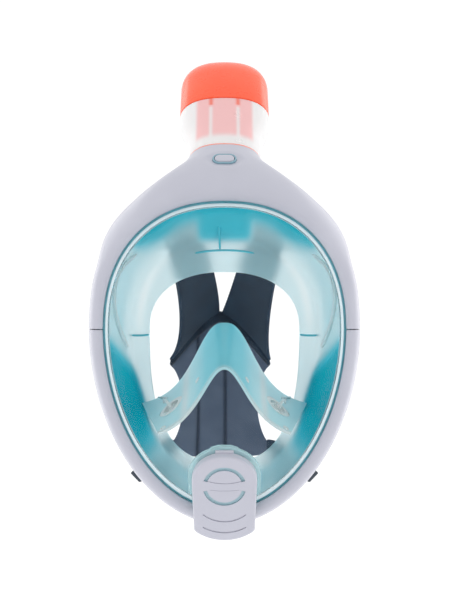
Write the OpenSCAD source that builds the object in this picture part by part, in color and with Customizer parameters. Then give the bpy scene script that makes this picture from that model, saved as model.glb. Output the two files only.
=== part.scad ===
// Full-face snorkel mask with a plug-in dry-top snorkel, chin purge valve and head harness.
// Millimetres. +X is the viewer's right, +Y runs back towards the wearer's head, +Z is up.
// The origin lies on the face seal's plane, at the level where the lens is widest.

/* [Rim] */
// Half width of the lens opening in the frame
rim_half_w = 81; // [76:0.5:86]
// Height of the lens opening above its widest level
rim_top = 84.5; // [80:0.5:90]
// Depth of the lens opening below its widest level
rim_bottom = 118; // [112:0.5:124]
// Distance from the face seal's plane forward to the rim at top and bottom
rim_depth = 62; // [58:0.5:68]
// How far the rim sweeps back at its sides
rim_wrap = 16; // [12:0.5:20]

/* [Lens] */
// Wall thickness of the lens
lens_wall = 2.4; // [2:0.1:3]
// How far the lens bulges forward of the rim
lens_bulge = 30; // [26:0.5:34]
// Width of the lens flange that the frame covers
lens_flange = 4; // [3:0.1:5]

/* [Frame] */
// Width of the frame outside the lens opening
frame_w = 10.5; // [9.5:0.1:12]
// Thickness of the frame's front lip over the lens
frame_lip = 3.2; // [2.6:0.1:4]
// How far the frame's side wall reaches behind the lens flange
frame_depth = 22; // [20:0.5:26]
// Wall thickness of the frame's side wall
frame_wall = 3; // [2.4:0.1:3.4]
// Width of the seam between the frame's upper and lower halves
seam_gap = 0.4; // [0.3:0.05:0.8]
// Thickness of the ring that clamps the skirt behind the lens
retainer_t = 2.6; // [2:0.1:3.2]
// Length of the plates that join the frame's halves
joiner_l = 28; // [24:0.5:34]
// Radius of the joining screws
screw_r = 1.5; // [1.2:0.1:1.8]

/* [Skirt] */
// Wall thickness of the silicone skirt
skirt_wall = 2; // [1.6:0.1:2.6]
// Half width of the skirt where it meets the face
seal_half_w = 70; // [66:0.5:74]
// Half width of the opening for the face
opening_half_w = 52; // [49:0.5:55]
// How far the face seal sweeps back at its sides
seal_wrap = 18; // [12:0.5:22]

/* [Nose pocket] */
// Wall thickness of the nose pocket
pocket_wall = 1.8; // [1.4:0.1:2.4]
// Height of the nose bridge above the widest level
bridge_top = 4; // [0:0.5:8]
// Height of the pocket's front arch, below the widest level
front_arch_drop = 23; // [20:0.5:27]
// Radius of the inhale flaps
flap_r = 7.5; // [6:0.25:9]
// Thickness of the inhale flaps
flap_t = 1; // [0.8:0.1:1.4]

/* [Chin valve] */
// Height of the chin valve's centre, below the widest level
chin_drop = 95; // [92:0.5:98]
// Angle by which the chin valve faces downwards
chin_tilt = 22; // [19:0.5:25]
// Radius of the chin valve's silicone disc
chin_disc_r = 12.5; // [11:0.25:13.5]
// Half width of the chin cover
cover_half_w = 20.75; // [19:0.25:22]
// Height of the chin cover from its lower edge to its crown
cover_h = 61; // [57:0.5:64]
// Wall thickness of the chin cover
cover_wall = 2.2; // [1.8:0.1:2.8]
// Width of the cover's vent slots
vent_w = 2.2; // [1.6:0.1:2.8]

/* [Snorkel socket] */
// Angle at which the snorkel leans back from upright
snorkel_tilt = 50; // [46:0.5:54]
// Half width of the socket's bore
socket_half_w = 22.5; // [21:0.25:24]
// Half depth of the socket's bore
socket_half_d = 15.5; // [14:0.25:16.5]
// Depth of the socket's bore
socket_depth = 12; // [10:0.5:13]
// Wall thickness around the socket's mouth
socket_wall = 3.2; // [2.8:0.1:4.2]
// Distance from the widest level up to the centre of the socket's mouth
socket_rise = 111; // [108:0.5:114]
// Distance from the face seal's plane forward to the centre of the socket's mouth
socket_forward = 19; // [16:0.5:22]

/* [Release button] */
// Half length of the oval release button
button_half_l = 7; // [6.2:0.1:7.6]
// End radius of the oval release button
button_r = 4.3; // [3.6:0.1:4.8]
// Travel of the release button
button_travel = 2; // [1.5:0.1:2.5]
// Distance of the release button below the socket's mouth
button_drop = 19; // [18:0.5:20.5]

/* [Snorkel] */
// Length of the snorkel from the socket's mouth to the top of its cap
snorkel_l = 120; // [112:1:128]
// Half width of the snorkel where its cap begins
tube_half_w = 32; // [30.5:0.5:34]
// Half depth of the snorkel where its cap begins
tube_half_d = 19.5; // [18.5:0.5:21.5]
// Wall thickness of the snorkel's tube
tube_wall = 2; // [1.6:0.1:2.6]
// Length of the snorkel's cap
cap_l = 61; // [56:1:66]
// Distance of each dividing wall from the middle of the tube
divider_x = 9.5; // [8.5:0.25:11]
// Thickness of the dividing walls
divider_t = 1.2; // [1:0.1:1.8]
// Length of the float
float_l = 24; // [20:0.5:26]
// Travel of the float
float_travel = 8; // [6:0.5:10]

/* [Harness] */
// Width of the straps at the frame
strap_w = 26; // [22:0.5:30]
// Thickness of the straps
strap_t = 3; // [2.4:0.1:3.6]
// Sideways shift of the back pad, which hangs a little askew
pad_shift = -3.5; // [-10:0.5:10]
// Half width of the back pad
pad_half_w = 39.5; // [36:0.5:43]
// Thickness of the back pad
pad_t = 5; // [4:0.25:6.5]
// Distance from the face seal's plane back to the middle of the pad
pad_back = 126; // [118:1:138]
// Height of the middle of the pad's upper hem above the widest level
hem_top = 6.5; // [3:0.5:10]
// Depth of the pad's lower edge below the widest level
pad_drop = 106; // [101:0.5:112]

/* [Fits] */
// Gap between pieces that are clamped or clipped together
fit_gap = 0.15; // [0.1:0.05:0.25]
// Gap around pieces that move
run_gap = 0.35; // [0.3:0.05:0.5]

/* [Hidden] */

// Colours of the moulded pieces
frame_colour = "#d3d4df";
clear_colour = [0.86, 0.94, 0.95, 0.35];
teal_colour = [0.30, 0.72, 0.76, 0.75];
orange_colour = "#ff6f52";
strap_colour = "#374656";
pad_colour = "#596577";
dark_colour = "#27303b";
steel_colour = "#b8bcc2";

$fn = 48;

// Steps round the rim; every ring of the lens, frame and skirt shares them
rim_steps = 72;
// Steps round an oval section of the snorkel
oval_steps = 36;

// Shape exponents of the egg outlines above and below the widest level
rim_n_top = 2.25;
rim_n_bottom = 1.93;
// Shape exponent of the snorkel's oval sections
oval_n = 2.4;

function signed_power(v, e) = sign(v) * pow(abs(v), e);
function mix(a, b, s) = a + (b - a) * s;
function unit(v) = v / norm(v);
function hermite(a, ta, b, tb, s) =
    (2 * s * s * s - 3 * s * s + 1) * a + (s * s * s - 2 * s * s + s) * ta
    + (3 * s * s - 2 * s * s * s) * b + (s * s * s - s * s) * tb;

// Egg outline in the XZ plane at angle t, counted from +X towards +Z; n_bottom squares its lower half
function egg(t, half_w, top, bottom, n_bottom = rim_n_bottom) =
    let (n = sin(t) >= 0 ? rim_n_top : n_bottom, reach = sin(t) >= 0 ? top : bottom)
    [half_w * signed_power(cos(t), 2 / n), reach * signed_power(sin(t), 2 / n)];

// The rim's outline grown outwards by u
function rim(t, u) = egg(t, rim_half_w + u, rim_top + u, rim_bottom + u);
// Depth of the rim's swept-back base surface at a distance x from the middle
function rim_y(x) = -rim_depth + rim_wrap * pow(x / rim_half_w, 2);
// A point on the rim, u outwards and v behind the lens flange's front face
function rim_point(t, u, v) = let (p = rim(t, u)) [p[0], rim_y(p[0]) + v, p[1]];
// Outward direction of the rim in the XZ plane, and the direction along the rim
function rim_out(t) = let (d = rim(t + 0.5, 0) - rim(t - 0.5, 0)) unit([d[1], 0, -d[0]]);
function rim_along(t) = let (d = rim_point(t + 0.5, 0, 0) - rim_point(t - 0.5, 0, 0)) unit(d);

rim_angles = [for (i = [0:rim_steps - 1]) 360 * i / rim_steps];

// Triangles of the strip between two rings of n points, whose first points are numbered a and b
function strip(a, b, n, closed) =
    [for (i = [0:n - (closed ? 1 : 2)])
        let (j = (i + 1) % n)
        each [[a + i, a + j, b + j], [a + i, b + j, b + i]]];

// A solid through rings of equal length that is closed into a tube round its own middle
module ring_solid(rings) {
    n = len(rings[0]);
    count = len(rings);
    polyhedron(
        points = [for (r = rings) each r],
        faces = [for (k = [0:count - 1]) each strip(k * n, ((k + 1) % count) * n, n, true)]
    );
}

// A solid through rings of equal length that closes on a single point at each end
module domed_solid(first_point, rings, last_point) {
    n = len(rings[0]);
    count = len(rings);
    last = count * n + 1;
    polyhedron(
        points = [first_point, for (r = rings) each r, last_point],
        faces = [
            for (i = [0:n - 1]) [0, 1 + (i + 1) % n, 1 + i],
            for (k = [0:count - 2]) each strip(1 + k * n, 1 + (k + 1) * n, n, true),
            for (i = [0:n - 1]) [last, last - n + i, last - n + (i + 1) % n]
        ]
    );
}

// A solid through sections, each an outer and an inner chain of equal length, with flat ends
module section_solid(sections) {
    half = len(sections[0][0]);
    n = 2 * half;
    count = len(sections);
    loops = [for (s = sections) concat(s[0], [for (k = [half - 1:-1:0]) s[1][k]])];
    last = (count - 1) * n;
    polyhedron(
        points = [for (l = loops) each l],
        faces = [
            for (k = [0:half - 2]) each [[k, k + 1, n - 2 - k], [k, n - 2 - k, n - 1 - k]],
            for (k = [0:count - 2]) each strip((k + 1) * n, k * n, n, true),
            for (k = [0:half - 2])
                let (far = last + n - 2 - k)
                each [[last + k, far, last + k + 1], [last + k, far + 1, far]]
        ]
    );
}

// Lens

// The dome's superellipse profile: s is 1 at the rim and 0 at the middle
dome_power = 3;
dome_steps = 8;
flange_back = lens_wall;
dome_edge = -1.5;

// Where a point of the XZ plane lies between the middle of the dome and its edge
function dome_share(x, z, inset) =
    let (n = z >= 0 ? rim_n_top : rim_n_bottom, reach = (z >= 0 ? rim_top : rim_bottom) + dome_edge - inset)
    pow(pow(abs(x) / (rim_half_w + dome_edge - inset), n) + pow(abs(z) / reach, n), 1 / n);
// Depth of the dome's surface there, inset inside its outer face
function dome_y(x, z, inset) =
    rim_y(x) - (lens_bulge - inset) * sqrt(max(0, 1 - pow(min(1, dome_share(x, z, inset)), dome_power)));
function dome_ring(step, inset) =
    let (a = 90 * step / dome_steps, s = pow(cos(a), 2 / dome_power))
    [for (t = rim_angles)
        let (p = rim(t, dome_edge - inset) * s)
        [p[0], rim_y(p[0]) - (lens_bulge - inset) * sin(a), p[1]]];

module lens_shell() {
    domed_solid(
        [0, rim_y(0) - lens_bulge, 0],
        [
            for (k = [dome_steps - 1:-1:0]) dome_ring(k, 0),
            [for (t = rim_angles) rim_point(t, lens_flange, 0)],
            [for (t = rim_angles) rim_point(t, lens_flange, flange_back)],
            [for (t = rim_angles) rim_point(t, dome_edge - lens_wall, flange_back)],
            for (k = [1:dome_steps - 1]) dome_ring(k, lens_wall)
        ],
        [0, rim_y(0) - lens_bulge + lens_wall, 0]
    );
}

module lens() {
    color(clear_colour)
    difference() {
        lens_shell();
        at_chin() translate([0, 0, -chin_reach]) cylinder(r = seat_spigot_r + fit_gap, h = 2 * chin_reach);
    }
}

// Frame

skirt_flange_t = 2.6;
groove_back = flange_back + skirt_flange_t + 2 * fit_gap;
groove_u = lens_flange + 2 * fit_gap;
retainer_back = groove_back + fit_gap + retainer_t;
lip_round = 1.5;

// Outer and inner chains of the frame's section, as [u, v]
frame_outer = [
    [0, -frame_lip], [0.24 * frame_w, -frame_lip - lip_round], [0.58 * frame_w, -frame_lip - lip_round],
    [0.86 * frame_w, -frame_lip + 0.6], [frame_w, 0.12 * frame_depth], [frame_w, 0.45 * frame_depth],
    [frame_w - 0.7, 0.78 * frame_depth], [frame_w - 1.9, frame_depth]
];
frame_inner = [
    [0, -fit_gap], [0.24 * frame_w, -fit_gap], [groove_u, -fit_gap],
    [groove_u, 0.5 * groove_back], [groove_u, retainer_back],
    [frame_w - frame_wall - 0.4, retainer_back + 1.5],
    [frame_w - frame_wall - 0.7, 0.78 * frame_depth], [frame_w - frame_wall - 1, frame_depth]
];

// Angle at which the rim has risen by half the seam
function seam_angle(reach, n) = asin(pow(seam_gap / 2 / reach, n / 2));
half_steps = rim_steps / 2;

module frame_half(from, to) {
    section_solid([
        for (i = [0:half_steps])
            let (t = mix(from, to, i / half_steps))
            [
                [for (p = frame_outer) rim_point(t, p[0], p[1])],
                [for (p = frame_inner) rim_point(t, p[0], p[1])]
            ]
    ]);
}

// Socket frame: sideways, towards the front face of the snorkel, and along the snorkel
socket_mouth = [0, -socket_forward, socket_rise];
tube_front = [0, -cos(snorkel_tilt), sin(snorkel_tilt)];
tube_axis = [0, sin(snorkel_tilt), cos(snorkel_tilt)];
function tube_point(x, q, w) = socket_mouth + [x, 0, 0] + q * tube_front + w * tube_axis;
function oval_point(a, half_w, half_d, w) =
    tube_point(half_w * signed_power(cos(a), 2 / oval_n), half_d * signed_power(sin(a), 2 / oval_n), w);
function oval_ring(half_w, half_d, w) =
    [for (i = [0:oval_steps - 1]) oval_point(360 * i / oval_steps, half_w, half_d, w)];
module at_tube() translate(socket_mouth) rotate([-snorkel_tilt, 0, 0]) children();

// The neck grows out of the upper half's outer face and ends in the socket for the snorkel
neck_from = 5;
neck_to = half_steps - neck_from;
neck_front = 2;
neck_back = 7;
neck_rings = 8;
neck_side_sweep = 24;
neck_pull = 26;
neck_rear_pull = 80;
// How far the neck's two ends lean out from the rim, follow it and keep to the snorkel's line at the mouth
shoulder_out = 0.42;
shoulder_reach = 1.5;
shoulder_pull = 60;

// Direction in which the neck leaves the rim at angle t: along the rim at its ends, outwards in the middle
function neck_ease(t) = let (s = (min(t, 180 - t) - 25) / 65, c = max(0, min(1, s))) c * c * (3 - 2 * c);
function neck_start(t, out, lean) =
    let (along = (t < 90 ? 1 : -1) * (1 - neck_ease(t)))
    unit(rim_out(t) * mix(shoulder_out, out, neck_ease(t)) + rim_along(t) * along + [0, lean, 0]);

upper_from = seam_angle(rim_top, rim_n_top);
function upper_angle(i) = mix(upper_from, 180 - upper_from, i / half_steps);
// The mouth's angle above section i, and how far place k lies towards the frame's rear edge
function neck_sweep(i) =
    mix(neck_side_sweep, 180 - neck_side_sweep, (i - neck_from) / (neck_to - neck_from));
function neck_share(k) = (k - neck_front) / (neck_back - neck_front);
// The neck's foot as [section, place on the outer chain, mouth angle], counted round
neck_foot = [
    for (i = [neck_from:neck_to]) [i, neck_front, neck_sweep(i)],
    for (k = [neck_front + 1:neck_back - 1]) [neck_to, k, 180 + neck_side_sweep * mix(-1, 1, neck_share(k))],
    for (i = [neck_to:-1:neck_from]) [i, neck_back, 360 - neck_sweep(i)],
    for (k = [neck_back - 1:-1:neck_front + 1])
        [neck_from, k, 360 + neck_side_sweep * mix(1, -1, neck_share(k))]
];
function neck_point(foot, s) =
    let (
        t = upper_angle(foot[0]), uv = frame_outer[foot[1]], start = rim_point(t, uv[0], uv[1]),
        end = oval_point(foot[2], socket_half_w + socket_wall, socket_half_d + socket_wall, 0),
        back = neck_share(foot[1]), reach = norm(end - start) * mix(shoulder_reach, 1, neck_ease(t)),
        pull = reach * neck_start(t, mix(1, -0.45, back), mix(0.35, 0.9, back)),
        end_pull = mix(mix(shoulder_pull, neck_pull, neck_ease(t)), neck_rear_pull, back)
    ) hermite(start, pull, end, end_pull * tube_axis, s);
function loop_strip(a, b) =
    [for (i = [0:len(a) - 1])
        let (j = (i + 1) % len(a))
        each [[a[i], a[j], b[j]], [a[i], b[j], b[i]]]];

module upper_shell() {
    half = len(frame_outer);
    n = 2 * half;
    last = half_steps * n;
    arch = [for (i = [0:half_steps])
        let (t = upper_angle(i))
        each concat(
            [for (p = frame_outer) rim_point(t, p[0], p[1])],
            [for (k = [half - 1:-1:0]) rim_point(t, frame_inner[k][0], frame_inner[k][1])]
        )];
    m = len(neck_foot);
    rings = concat(
        [for (k = [1:neck_rings]) [for (f = neck_foot) neck_point(f, k / neck_rings)]],
        [for (w = [0, -socket_depth]) [for (f = neck_foot) oval_point(f[2], socket_half_w, socket_half_d, w)]]
    );
    first = len(arch);
    loops = concat(
        [[for (f = neck_foot) f[0] * n + f[1]]],
        [for (k = [0:len(rings) - 1]) [for (i = [0:m - 1]) first + k * m + i]]
    );
    floor_point = first + len(rings) * m;
    polyhedron(
        points = concat(arch, [for (r = rings) each r], [tube_point(0, 0, -socket_depth)]),
        faces = [
            for (k = [0:half - 2]) each [[k, k + 1, n - 2 - k], [k, n - 2 - k, n - 1 - k]],
            for (k = [0:half - 2])
                let (far = last + n - 2 - k)
                each [[last + k, far, last + k + 1], [last + k, far + 1, far]],
            for (i = [0:half_steps - 1], k = [0:n - 1])
                if (i < neck_from || i >= neck_to || k < neck_front || k >= neck_back)
                    let (a = (i + 1) * n, b = i * n, j = (k + 1) % n)
                    each [[a + k, a + j, b + j], [a + k, b + j, b + k]],
            for (k = [0:len(loops) - 2]) each loop_strip(loops[k], loops[k + 1]),
            for (i = [0:m - 1]) [floor_point, loops[len(loops) - 1][i], loops[len(loops) - 1][(i + 1) % m]]
        ]
    );
}

module upper_frame() {
    color(frame_colour)
    difference() {
        upper_shell();
        screw_holes();
        at_button() button_pocket();
        clasp_recesses();
        at_tube() translate([0, 3, -socket_depth - port_l]) stadium(port_half_l, port_r, port_l + 1);
    }
}

module lower_frame() {
    color(frame_colour)
    difference() {
        frame_half(180 + seam_angle(rim_bottom, rim_n_bottom), 360 - seam_angle(rim_bottom, rim_n_bottom));
        screw_holes();
    }
}

// A ring behind the skirt's flange that clamps it against the lens
module retainer_ring() {
    inner = 1.9;
    outer = groove_u - fit_gap;
    front = groove_back + fit_gap;
    color(frame_colour)
    ring_solid([
        [for (t = rim_angles) rim_point(t, outer, front + retainer_t)],
        [for (t = rim_angles) rim_point(t, inner, front + retainer_t)],
        [for (t = rim_angles) rim_point(t, inner, front)],
        [for (t = rim_angles) rim_point(t, outer, front)]
    ]);
}

// Joining plates and screws at the side seams

joiner_u = frame_w - frame_wall - 1 - fit_gap;
joiner_t = 2.6;
joiner_v = [0.52 * frame_depth, 0.9 * frame_depth];
joiner_sweep = asin(pow(joiner_l / 2 / rim_top, rim_n_top / 2));
joiner_steps = 6;
screw_v = 0.71 * frame_depth;
screw_z = 0.3 * joiner_l;
screw_reach = joiner_u + fit_gap + 0.8 * frame_wall;
screw_head_r = 1.8 * screw_r;
screw_head_h = 1.2;

module at_screws(side)
    for (z = [-screw_z, screw_z])
        translate([side * rim_half_w, rim_y(rim_half_w) + screw_v, z]) rotate([0, side * 90, 0]) children();

module screw_holes()
    for (side = [-1, 1]) at_screws(side) cylinder(r = screw_r + fit_gap, h = screw_reach + fit_gap);

module frame_joiner(side) {
    color(frame_colour)
    difference() {
        section_solid([
            for (i = [0:joiner_steps])
                let (t = mix(-joiner_sweep, joiner_sweep, i / joiner_steps) + (side > 0 ? 0 : 180))
                [[for (v = joiner_v) rim_point(t, joiner_u, v)],
                 [for (v = joiner_v) rim_point(t, joiner_u - joiner_t, v)]]
        ]);
        at_screws(side) cylinder(r = screw_r + fit_gap, h = 2 * frame_w);
    }
}
module frame_joiner_left() frame_joiner(-1);
module frame_joiner_right() frame_joiner(1);

module frame_screws() {
    head = joiner_u - joiner_t - 0.5;
    color(steel_colour)
    for (side = [-1, 1]) at_screws(side) {
        translate([0, 0, head - screw_head_h]) cylinder(r = screw_head_r, h = screw_head_h);
        translate([0, 0, head - 0.1]) cylinder(r = screw_r, h = screw_reach - head);
    }
}

// Air port from the socket through the frame and the skirt's top
port_half_l = 16;
port_r = 3;
port_l = socket_rise + 3.5 - rim_top;

// Face skirt

seal_top = 66;
seal_bottom = 109;
opening_top = 38.5;
opening_bottom = 92;
opening_n_bottom = 2.7;
seal_back = -11;
function seal_y(x) = seal_back + seal_wrap * pow(x / seal_half_w, 2);
// A point between the seal's outer edge (share 0) and the opening's edge (share 1), moved forward by f
function seal_point(t, share, f) =
    let (
        seal = egg(t, seal_half_w, seal_top, seal_bottom),
        opening = egg(t, opening_half_w, opening_top, opening_bottom, opening_n_bottom),
        p = mix(seal, opening, share)
    )
    [p[0], seal_y(p[0]) - f, p[1]];
// A point of the skirt's side wall between the flange (share 0) and the seal's edge (share 1)
function wall_point(t, share, u, v, f) =
    mix(rim_point(t, u, v), seal_point(t, 0.06, f), share);
skirt_flange_front = flange_back + fit_gap;
skirt_flange_back = skirt_flange_front + skirt_flange_t;
skirt_flange_u = lens_flange - 0.4;

module face_skirt() {
    wall_in = -1;
    wall_out = wall_in + 1.1 * skirt_wall;
    color(teal_colour)
    difference() {
        ring_solid([
            [for (t = rim_angles) rim_point(t, skirt_flange_u, skirt_flange_back)],
            [for (t = rim_angles) rim_point(t, wall_out, skirt_flange_back)],
            [for (t = rim_angles) wall_point(t, 0.35, wall_out, skirt_flange_back + 4, skirt_wall)],
            [for (t = rim_angles) wall_point(t, 0.7, wall_out, skirt_flange_back, skirt_wall)],
            [for (t = rim_angles) seal_point(t, 0, 0.8 * skirt_wall)],
            [for (t = rim_angles) seal_point(t, 0.25, 0)],
            [for (t = rim_angles) seal_point(t, 0.65, 0)],
            [for (t = rim_angles) seal_point(t, 1, 0)],
            [for (t = rim_angles) seal_point(t, 1, 0.8 * skirt_wall)],
            [for (t = rim_angles) seal_point(t, 0.65, 1.3 * skirt_wall)],
            [for (t = rim_angles) seal_point(t, 0.34, 1.3 * skirt_wall)],
            [for (t = rim_angles) seal_point(t, 0.16, 2.2 * skirt_wall)],
            [for (t = rim_angles) wall_point(t, 0.7, wall_in, skirt_flange_front, 3 * skirt_wall)],
            [for (t = rim_angles) wall_point(t, 0.35, wall_in, skirt_flange_front + 4, 3 * skirt_wall)],
            [for (t = rim_angles) rim_point(t, wall_in, skirt_flange_front)],
            [for (t = rim_angles) rim_point(t, skirt_flange_u, skirt_flange_front)]
        ]);
        translate([0, rim_y(0) + 15, 60]) stadium(port_half_l, port_r, 40);
    }
}

// Nose pocket: a bell-shaped wall from the face seal forward to the lens

rear_foot = -58;
rear_w = 24.8;
rear_half = 57.5;
rear_power = 2.7;
front_foot = -75;
front_w = 21.2;
front_half = 43;
front_power = 2.2;
pocket_steps = 32;
pocket_rows = 6;
pocket_clear = 0.6;
function bell(x, top, foot, w, power) = foot + (top - foot) / (1 + pow(abs(x) / w, power));
// A point of the pocket's upper face; p runs from left to right and q from the face to the lens
function pocket_point(p, q) =
    let (
        xr = rear_half * p, xf = front_half * p,
        zf = bell(xf, -front_arch_drop, front_foot, front_w, front_power),
        rear_y = seal_y(xr) - 1.3 * skirt_wall - fit_gap - pocket_wall,
        rear = [xr, rear_y, bell(xr, bridge_top, rear_foot, rear_w, rear_power)],
        front = [xf, dome_y(xf, zf, lens_wall) + pocket_clear, zf]
    ) mix(rear, front, q);
function pocket_normal(p, q) =
    let (
        across = pocket_point(p + 0.02, q) - pocket_point(p - 0.02, q),
        forward = pocket_point(p, q + 0.02) - pocket_point(p, q - 0.02)
    ) unit(cross(forward, across));

module pocket_shell() {
    section_solid([
        for (i = [0:pocket_steps])
            let (p = 2 * i / pocket_steps - 1)
            [
                [for (k = [0:pocket_rows]) pocket_point(p, k / pocket_rows)],
                [for (k = [0:pocket_rows])
                    let (q = k / pocket_rows)
                    pocket_point(p, q) - pocket_wall * pocket_normal(p, q)]
            ]
    ]);
}

// Inhale valves stand in the pocket's flanks
valve_p = 0.7;
valve_q = 0.5;
valve_seat_r = flap_r + 2.2;
valve_bore_r = flap_r - 1.2;
valve_seat_t = 3;
valve_stem_r = 1.2;
valve_boss_r = 2.8;
spoke_w = 1.5;
valve_travel = 1.2;
bar_l = 8;
bar_t = 1.6;
bar_rise = 4;
module at_inhale(side) {
    z = pocket_normal(side * valve_p, valve_q);
    x = unit(cross([0, 1, 0], z));
    y = cross(z, x);
    c = pocket_point(side * valve_p, valve_q) - 0.5 * pocket_wall * z;
    multmatrix([
        [x[0], y[0], z[0], c[0]], [x[1], y[1], z[1], c[1]], [x[2], y[2], z[2], c[2]], [0, 0, 0, 1]
    ]) children();
}

module nose_pocket() {
    color(teal_colour)
    difference() {
        pocket_shell();
        for (side = [-1, 1])
            at_inhale(side) translate([0, 0, -8]) cylinder(r = valve_seat_r + fit_gap, h = 16);
    }
}

module inhale_seat(side) {
    color(clear_colour)
    at_inhale(side) difference() {
        union() {
            difference() {
                translate([0, 0, -valve_seat_t / 2]) cylinder(r = valve_seat_r, h = valve_seat_t);
                translate([0, 0, -valve_seat_t]) cylinder(r = valve_bore_r, h = 2 * valve_seat_t);
            }
            translate([0, 0, -valve_seat_t / 2]) cylinder(r = valve_boss_r, h = valve_seat_t);
            for (a = [0, 120, 240])
                rotate([0, 0, a]) translate([0, -spoke_w / 2, -valve_seat_t / 2])
                    cube([valve_bore_r + 0.5, spoke_w, spoke_w]);
        }
        translate([0, 0, -valve_seat_t]) cylinder(r = valve_stem_r + stem_gap, h = 2 * valve_seat_t);
    }
}
module inhale_seat_left() inhale_seat(-1);
module inhale_seat_right() inhale_seat(1);

// The flap lies on the pocket's inner side; its stem ends in a pull bar on the outer side
module inhale_valve(side) {
    under = -valve_seat_t / 2 - run_gap;
    over = valve_seat_t / 2 + bar_rise;
    color(teal_colour)
    at_inhale(side) {
        translate([0, 0, under - flap_t]) cylinder(r1 = flap_r - 0.6, r2 = flap_r, h = flap_t);
        translate([0, 0, under - flap_t / 2]) cylinder(r = valve_stem_r, h = over - under + flap_t / 2 + 0.5);
        translate([-bar_t / 2, -bar_l / 2, over]) cube([bar_t, bar_l, bar_t]);
    }
}
module inhale_valve_left() inhale_valve(-1);
module inhale_valve_right() inhale_valve(1);

// Chin valve, seat and cover; x sideways, y up along the lens, z out of the lens

chin_reach = 40;
chin_centre = [0, dome_y(0, -chin_drop, 0), -chin_drop];
module at_chin() translate(chin_centre) rotate([90 + chin_tilt, 0, 0]) children();

seat_spigot_r = chin_disc_r + 2.5;
seat_bore_r = chin_disc_r - 1.8;
seat_face = 2.4;
seat_inside = 7;
frame_clear = 4;
seat_low = chin_drop + frame_clear - rim_bottom;
spider_t = 1.8;
spider_top = 0.8;
spider_sink = 0.1;
boss_r = 4;
stem_r = 1.8;
stem_gap = 0.05;
disc_t = 1.2;
chin_travel = 1.5;
cover_crown = 21.2;
arch_rise = 17.5;
cover_taper = 1.2;
cover_sag = 7;
tab_w = 11.6;
cover_from = seat_face + fit_gap;
cover_d = 7.5;
flange_over = 2.6;
block_over = 0.6;
arc_steps = 24;

// The cover's outline grown by g: an arched crown, slightly tapered sides and a shallow rounded foot
function cover_outline(g) = concat(
    [for (i = [0:arc_steps])
        let (a = 180 * i / arc_steps)
        [(cover_half_w + g) * cos(a), cover_crown - arch_rise + (arch_rise + g) * sin(a)]],
    [for (i = [0:arc_steps])
        let (s = 2 * i / arc_steps - 1)
        [s * (cover_half_w - cover_taper + g), cover_crown - cover_h - g + cover_sag * pow(abs(s), 2.2)
            + (abs(s) > 0.99 ? 0.8 : 0)]]
);
function arc_band(r, w, from, to) = concat(
    [for (i = [0:arc_steps]) let (a = mix(from, to, i / arc_steps)) (r + w / 2) * [cos(a), sin(a)]],
    [for (i = [arc_steps:-1:0]) let (a = mix(from, to, i / arc_steps)) (r - w / 2) * [cos(a), sin(a)]]
);

// The space behind the lens's outer face round the chin, grown by a fit gap, to shape what lies on it
bed_steps = 12;
bed_half_w = 28;
bed_low = frame_clear + 0.4 - rim_bottom;
bed_high = -chin_drop + 32;
bed_back = 0;
module lens_bed() {
    n = bed_steps + 1;
    count = n * n;
    places = [for (k = [0:bed_steps], i = [0:bed_steps])
        [bed_half_w * (2 * i / bed_steps - 1), mix(bed_low, bed_high, k / bed_steps)]];
    border = [
        for (i = [0:bed_steps - 1]) i,
        for (k = [0:bed_steps - 1]) k * n + bed_steps,
        for (i = [bed_steps:-1:1]) bed_steps * n + i,
        for (k = [bed_steps:-1:1]) k * n
    ];
    polyhedron(
        points = concat(
            [for (p = places) [p[0], dome_y(p[0], p[1], 0) - 3 * fit_gap, p[1]]],
            [for (p = places) [p[0], bed_back, p[1]]]
        ),
        faces = [
            for (k = [0:bed_steps - 1], i = [0:bed_steps - 1])
                let (a = k * n + i)
                each [
                    [a, a + n + 1, a + 1], [a, a + n, a + n + 1],
                    [count + a, count + a + 1, count + a + n + 1],
                    [count + a, count + a + n + 1, count + a + n]
                ],
            for (i = [0:len(border) - 1])
                let (a = border[i], b = border[(i + 1) % len(border)])
                each [[a, b, count + b], [a, count + b, count + a]]
        ]
    );
}

module seat_flange() {
    intersection() {
        linear_extrude(seat_face) union() {
            polygon(cover_outline(flange_over));
            translate([0, cover_crown])
                polygon([[-14.5, -5], [-8.5, 2], [-4, 3.5], [4, 3.5], [8.5, 2], [14.5, -5]]);
        }
        translate([-40, -9.5, -1]) cube([80, 60, 20]);
    }
    linear_extrude(seat_face) polygon(cover_outline(-1.5));
}

// The flange and the block under it, bedded on the lens
module seat_body() {
    difference() {
        at_chin() {
            seat_flange();
            intersection() {
                translate([0, 0, -9]) linear_extrude(9.2)
                    polygon(cover_outline(block_over));
                translate([-40, seat_low, -20]) cube([80, 60, 40]);
            }
        }
        lens_bed();
    }
}

module chin_valve_seat() {
    color(clear_colour)
    difference() {
        union() {
            difference() {
                union() {
                    seat_body();
                    at_chin() translate([0, 0, -seat_inside])
                        cylinder(r = seat_spigot_r, h = seat_inside + 1);
                }
                at_chin() {
                    translate([0, 0, -20]) cylinder(r = seat_bore_r, h = 40);
                    translate([0, 0, spider_top]) cylinder(r = chin_disc_r + 1.5, h = 20);
                }
            }
            at_chin() spider();
        }
        at_chin() translate([0, 0, -20]) cylinder(r = stem_r + stem_gap, h = 40);
    }
}

// Three spokes and a boss across the bore; the spokes are let into its wall
module spider() {
    translate([0, 0, spider_top - spider_t - spider_sink]) {
        cylinder(r = boss_r, h = spider_t);
        for (a = [0, 120, 240])
            rotate([0, 0, a + 60]) translate([0, -1, 0]) cube([seat_bore_r + 1, 2, spider_t]);
    }
}

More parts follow.
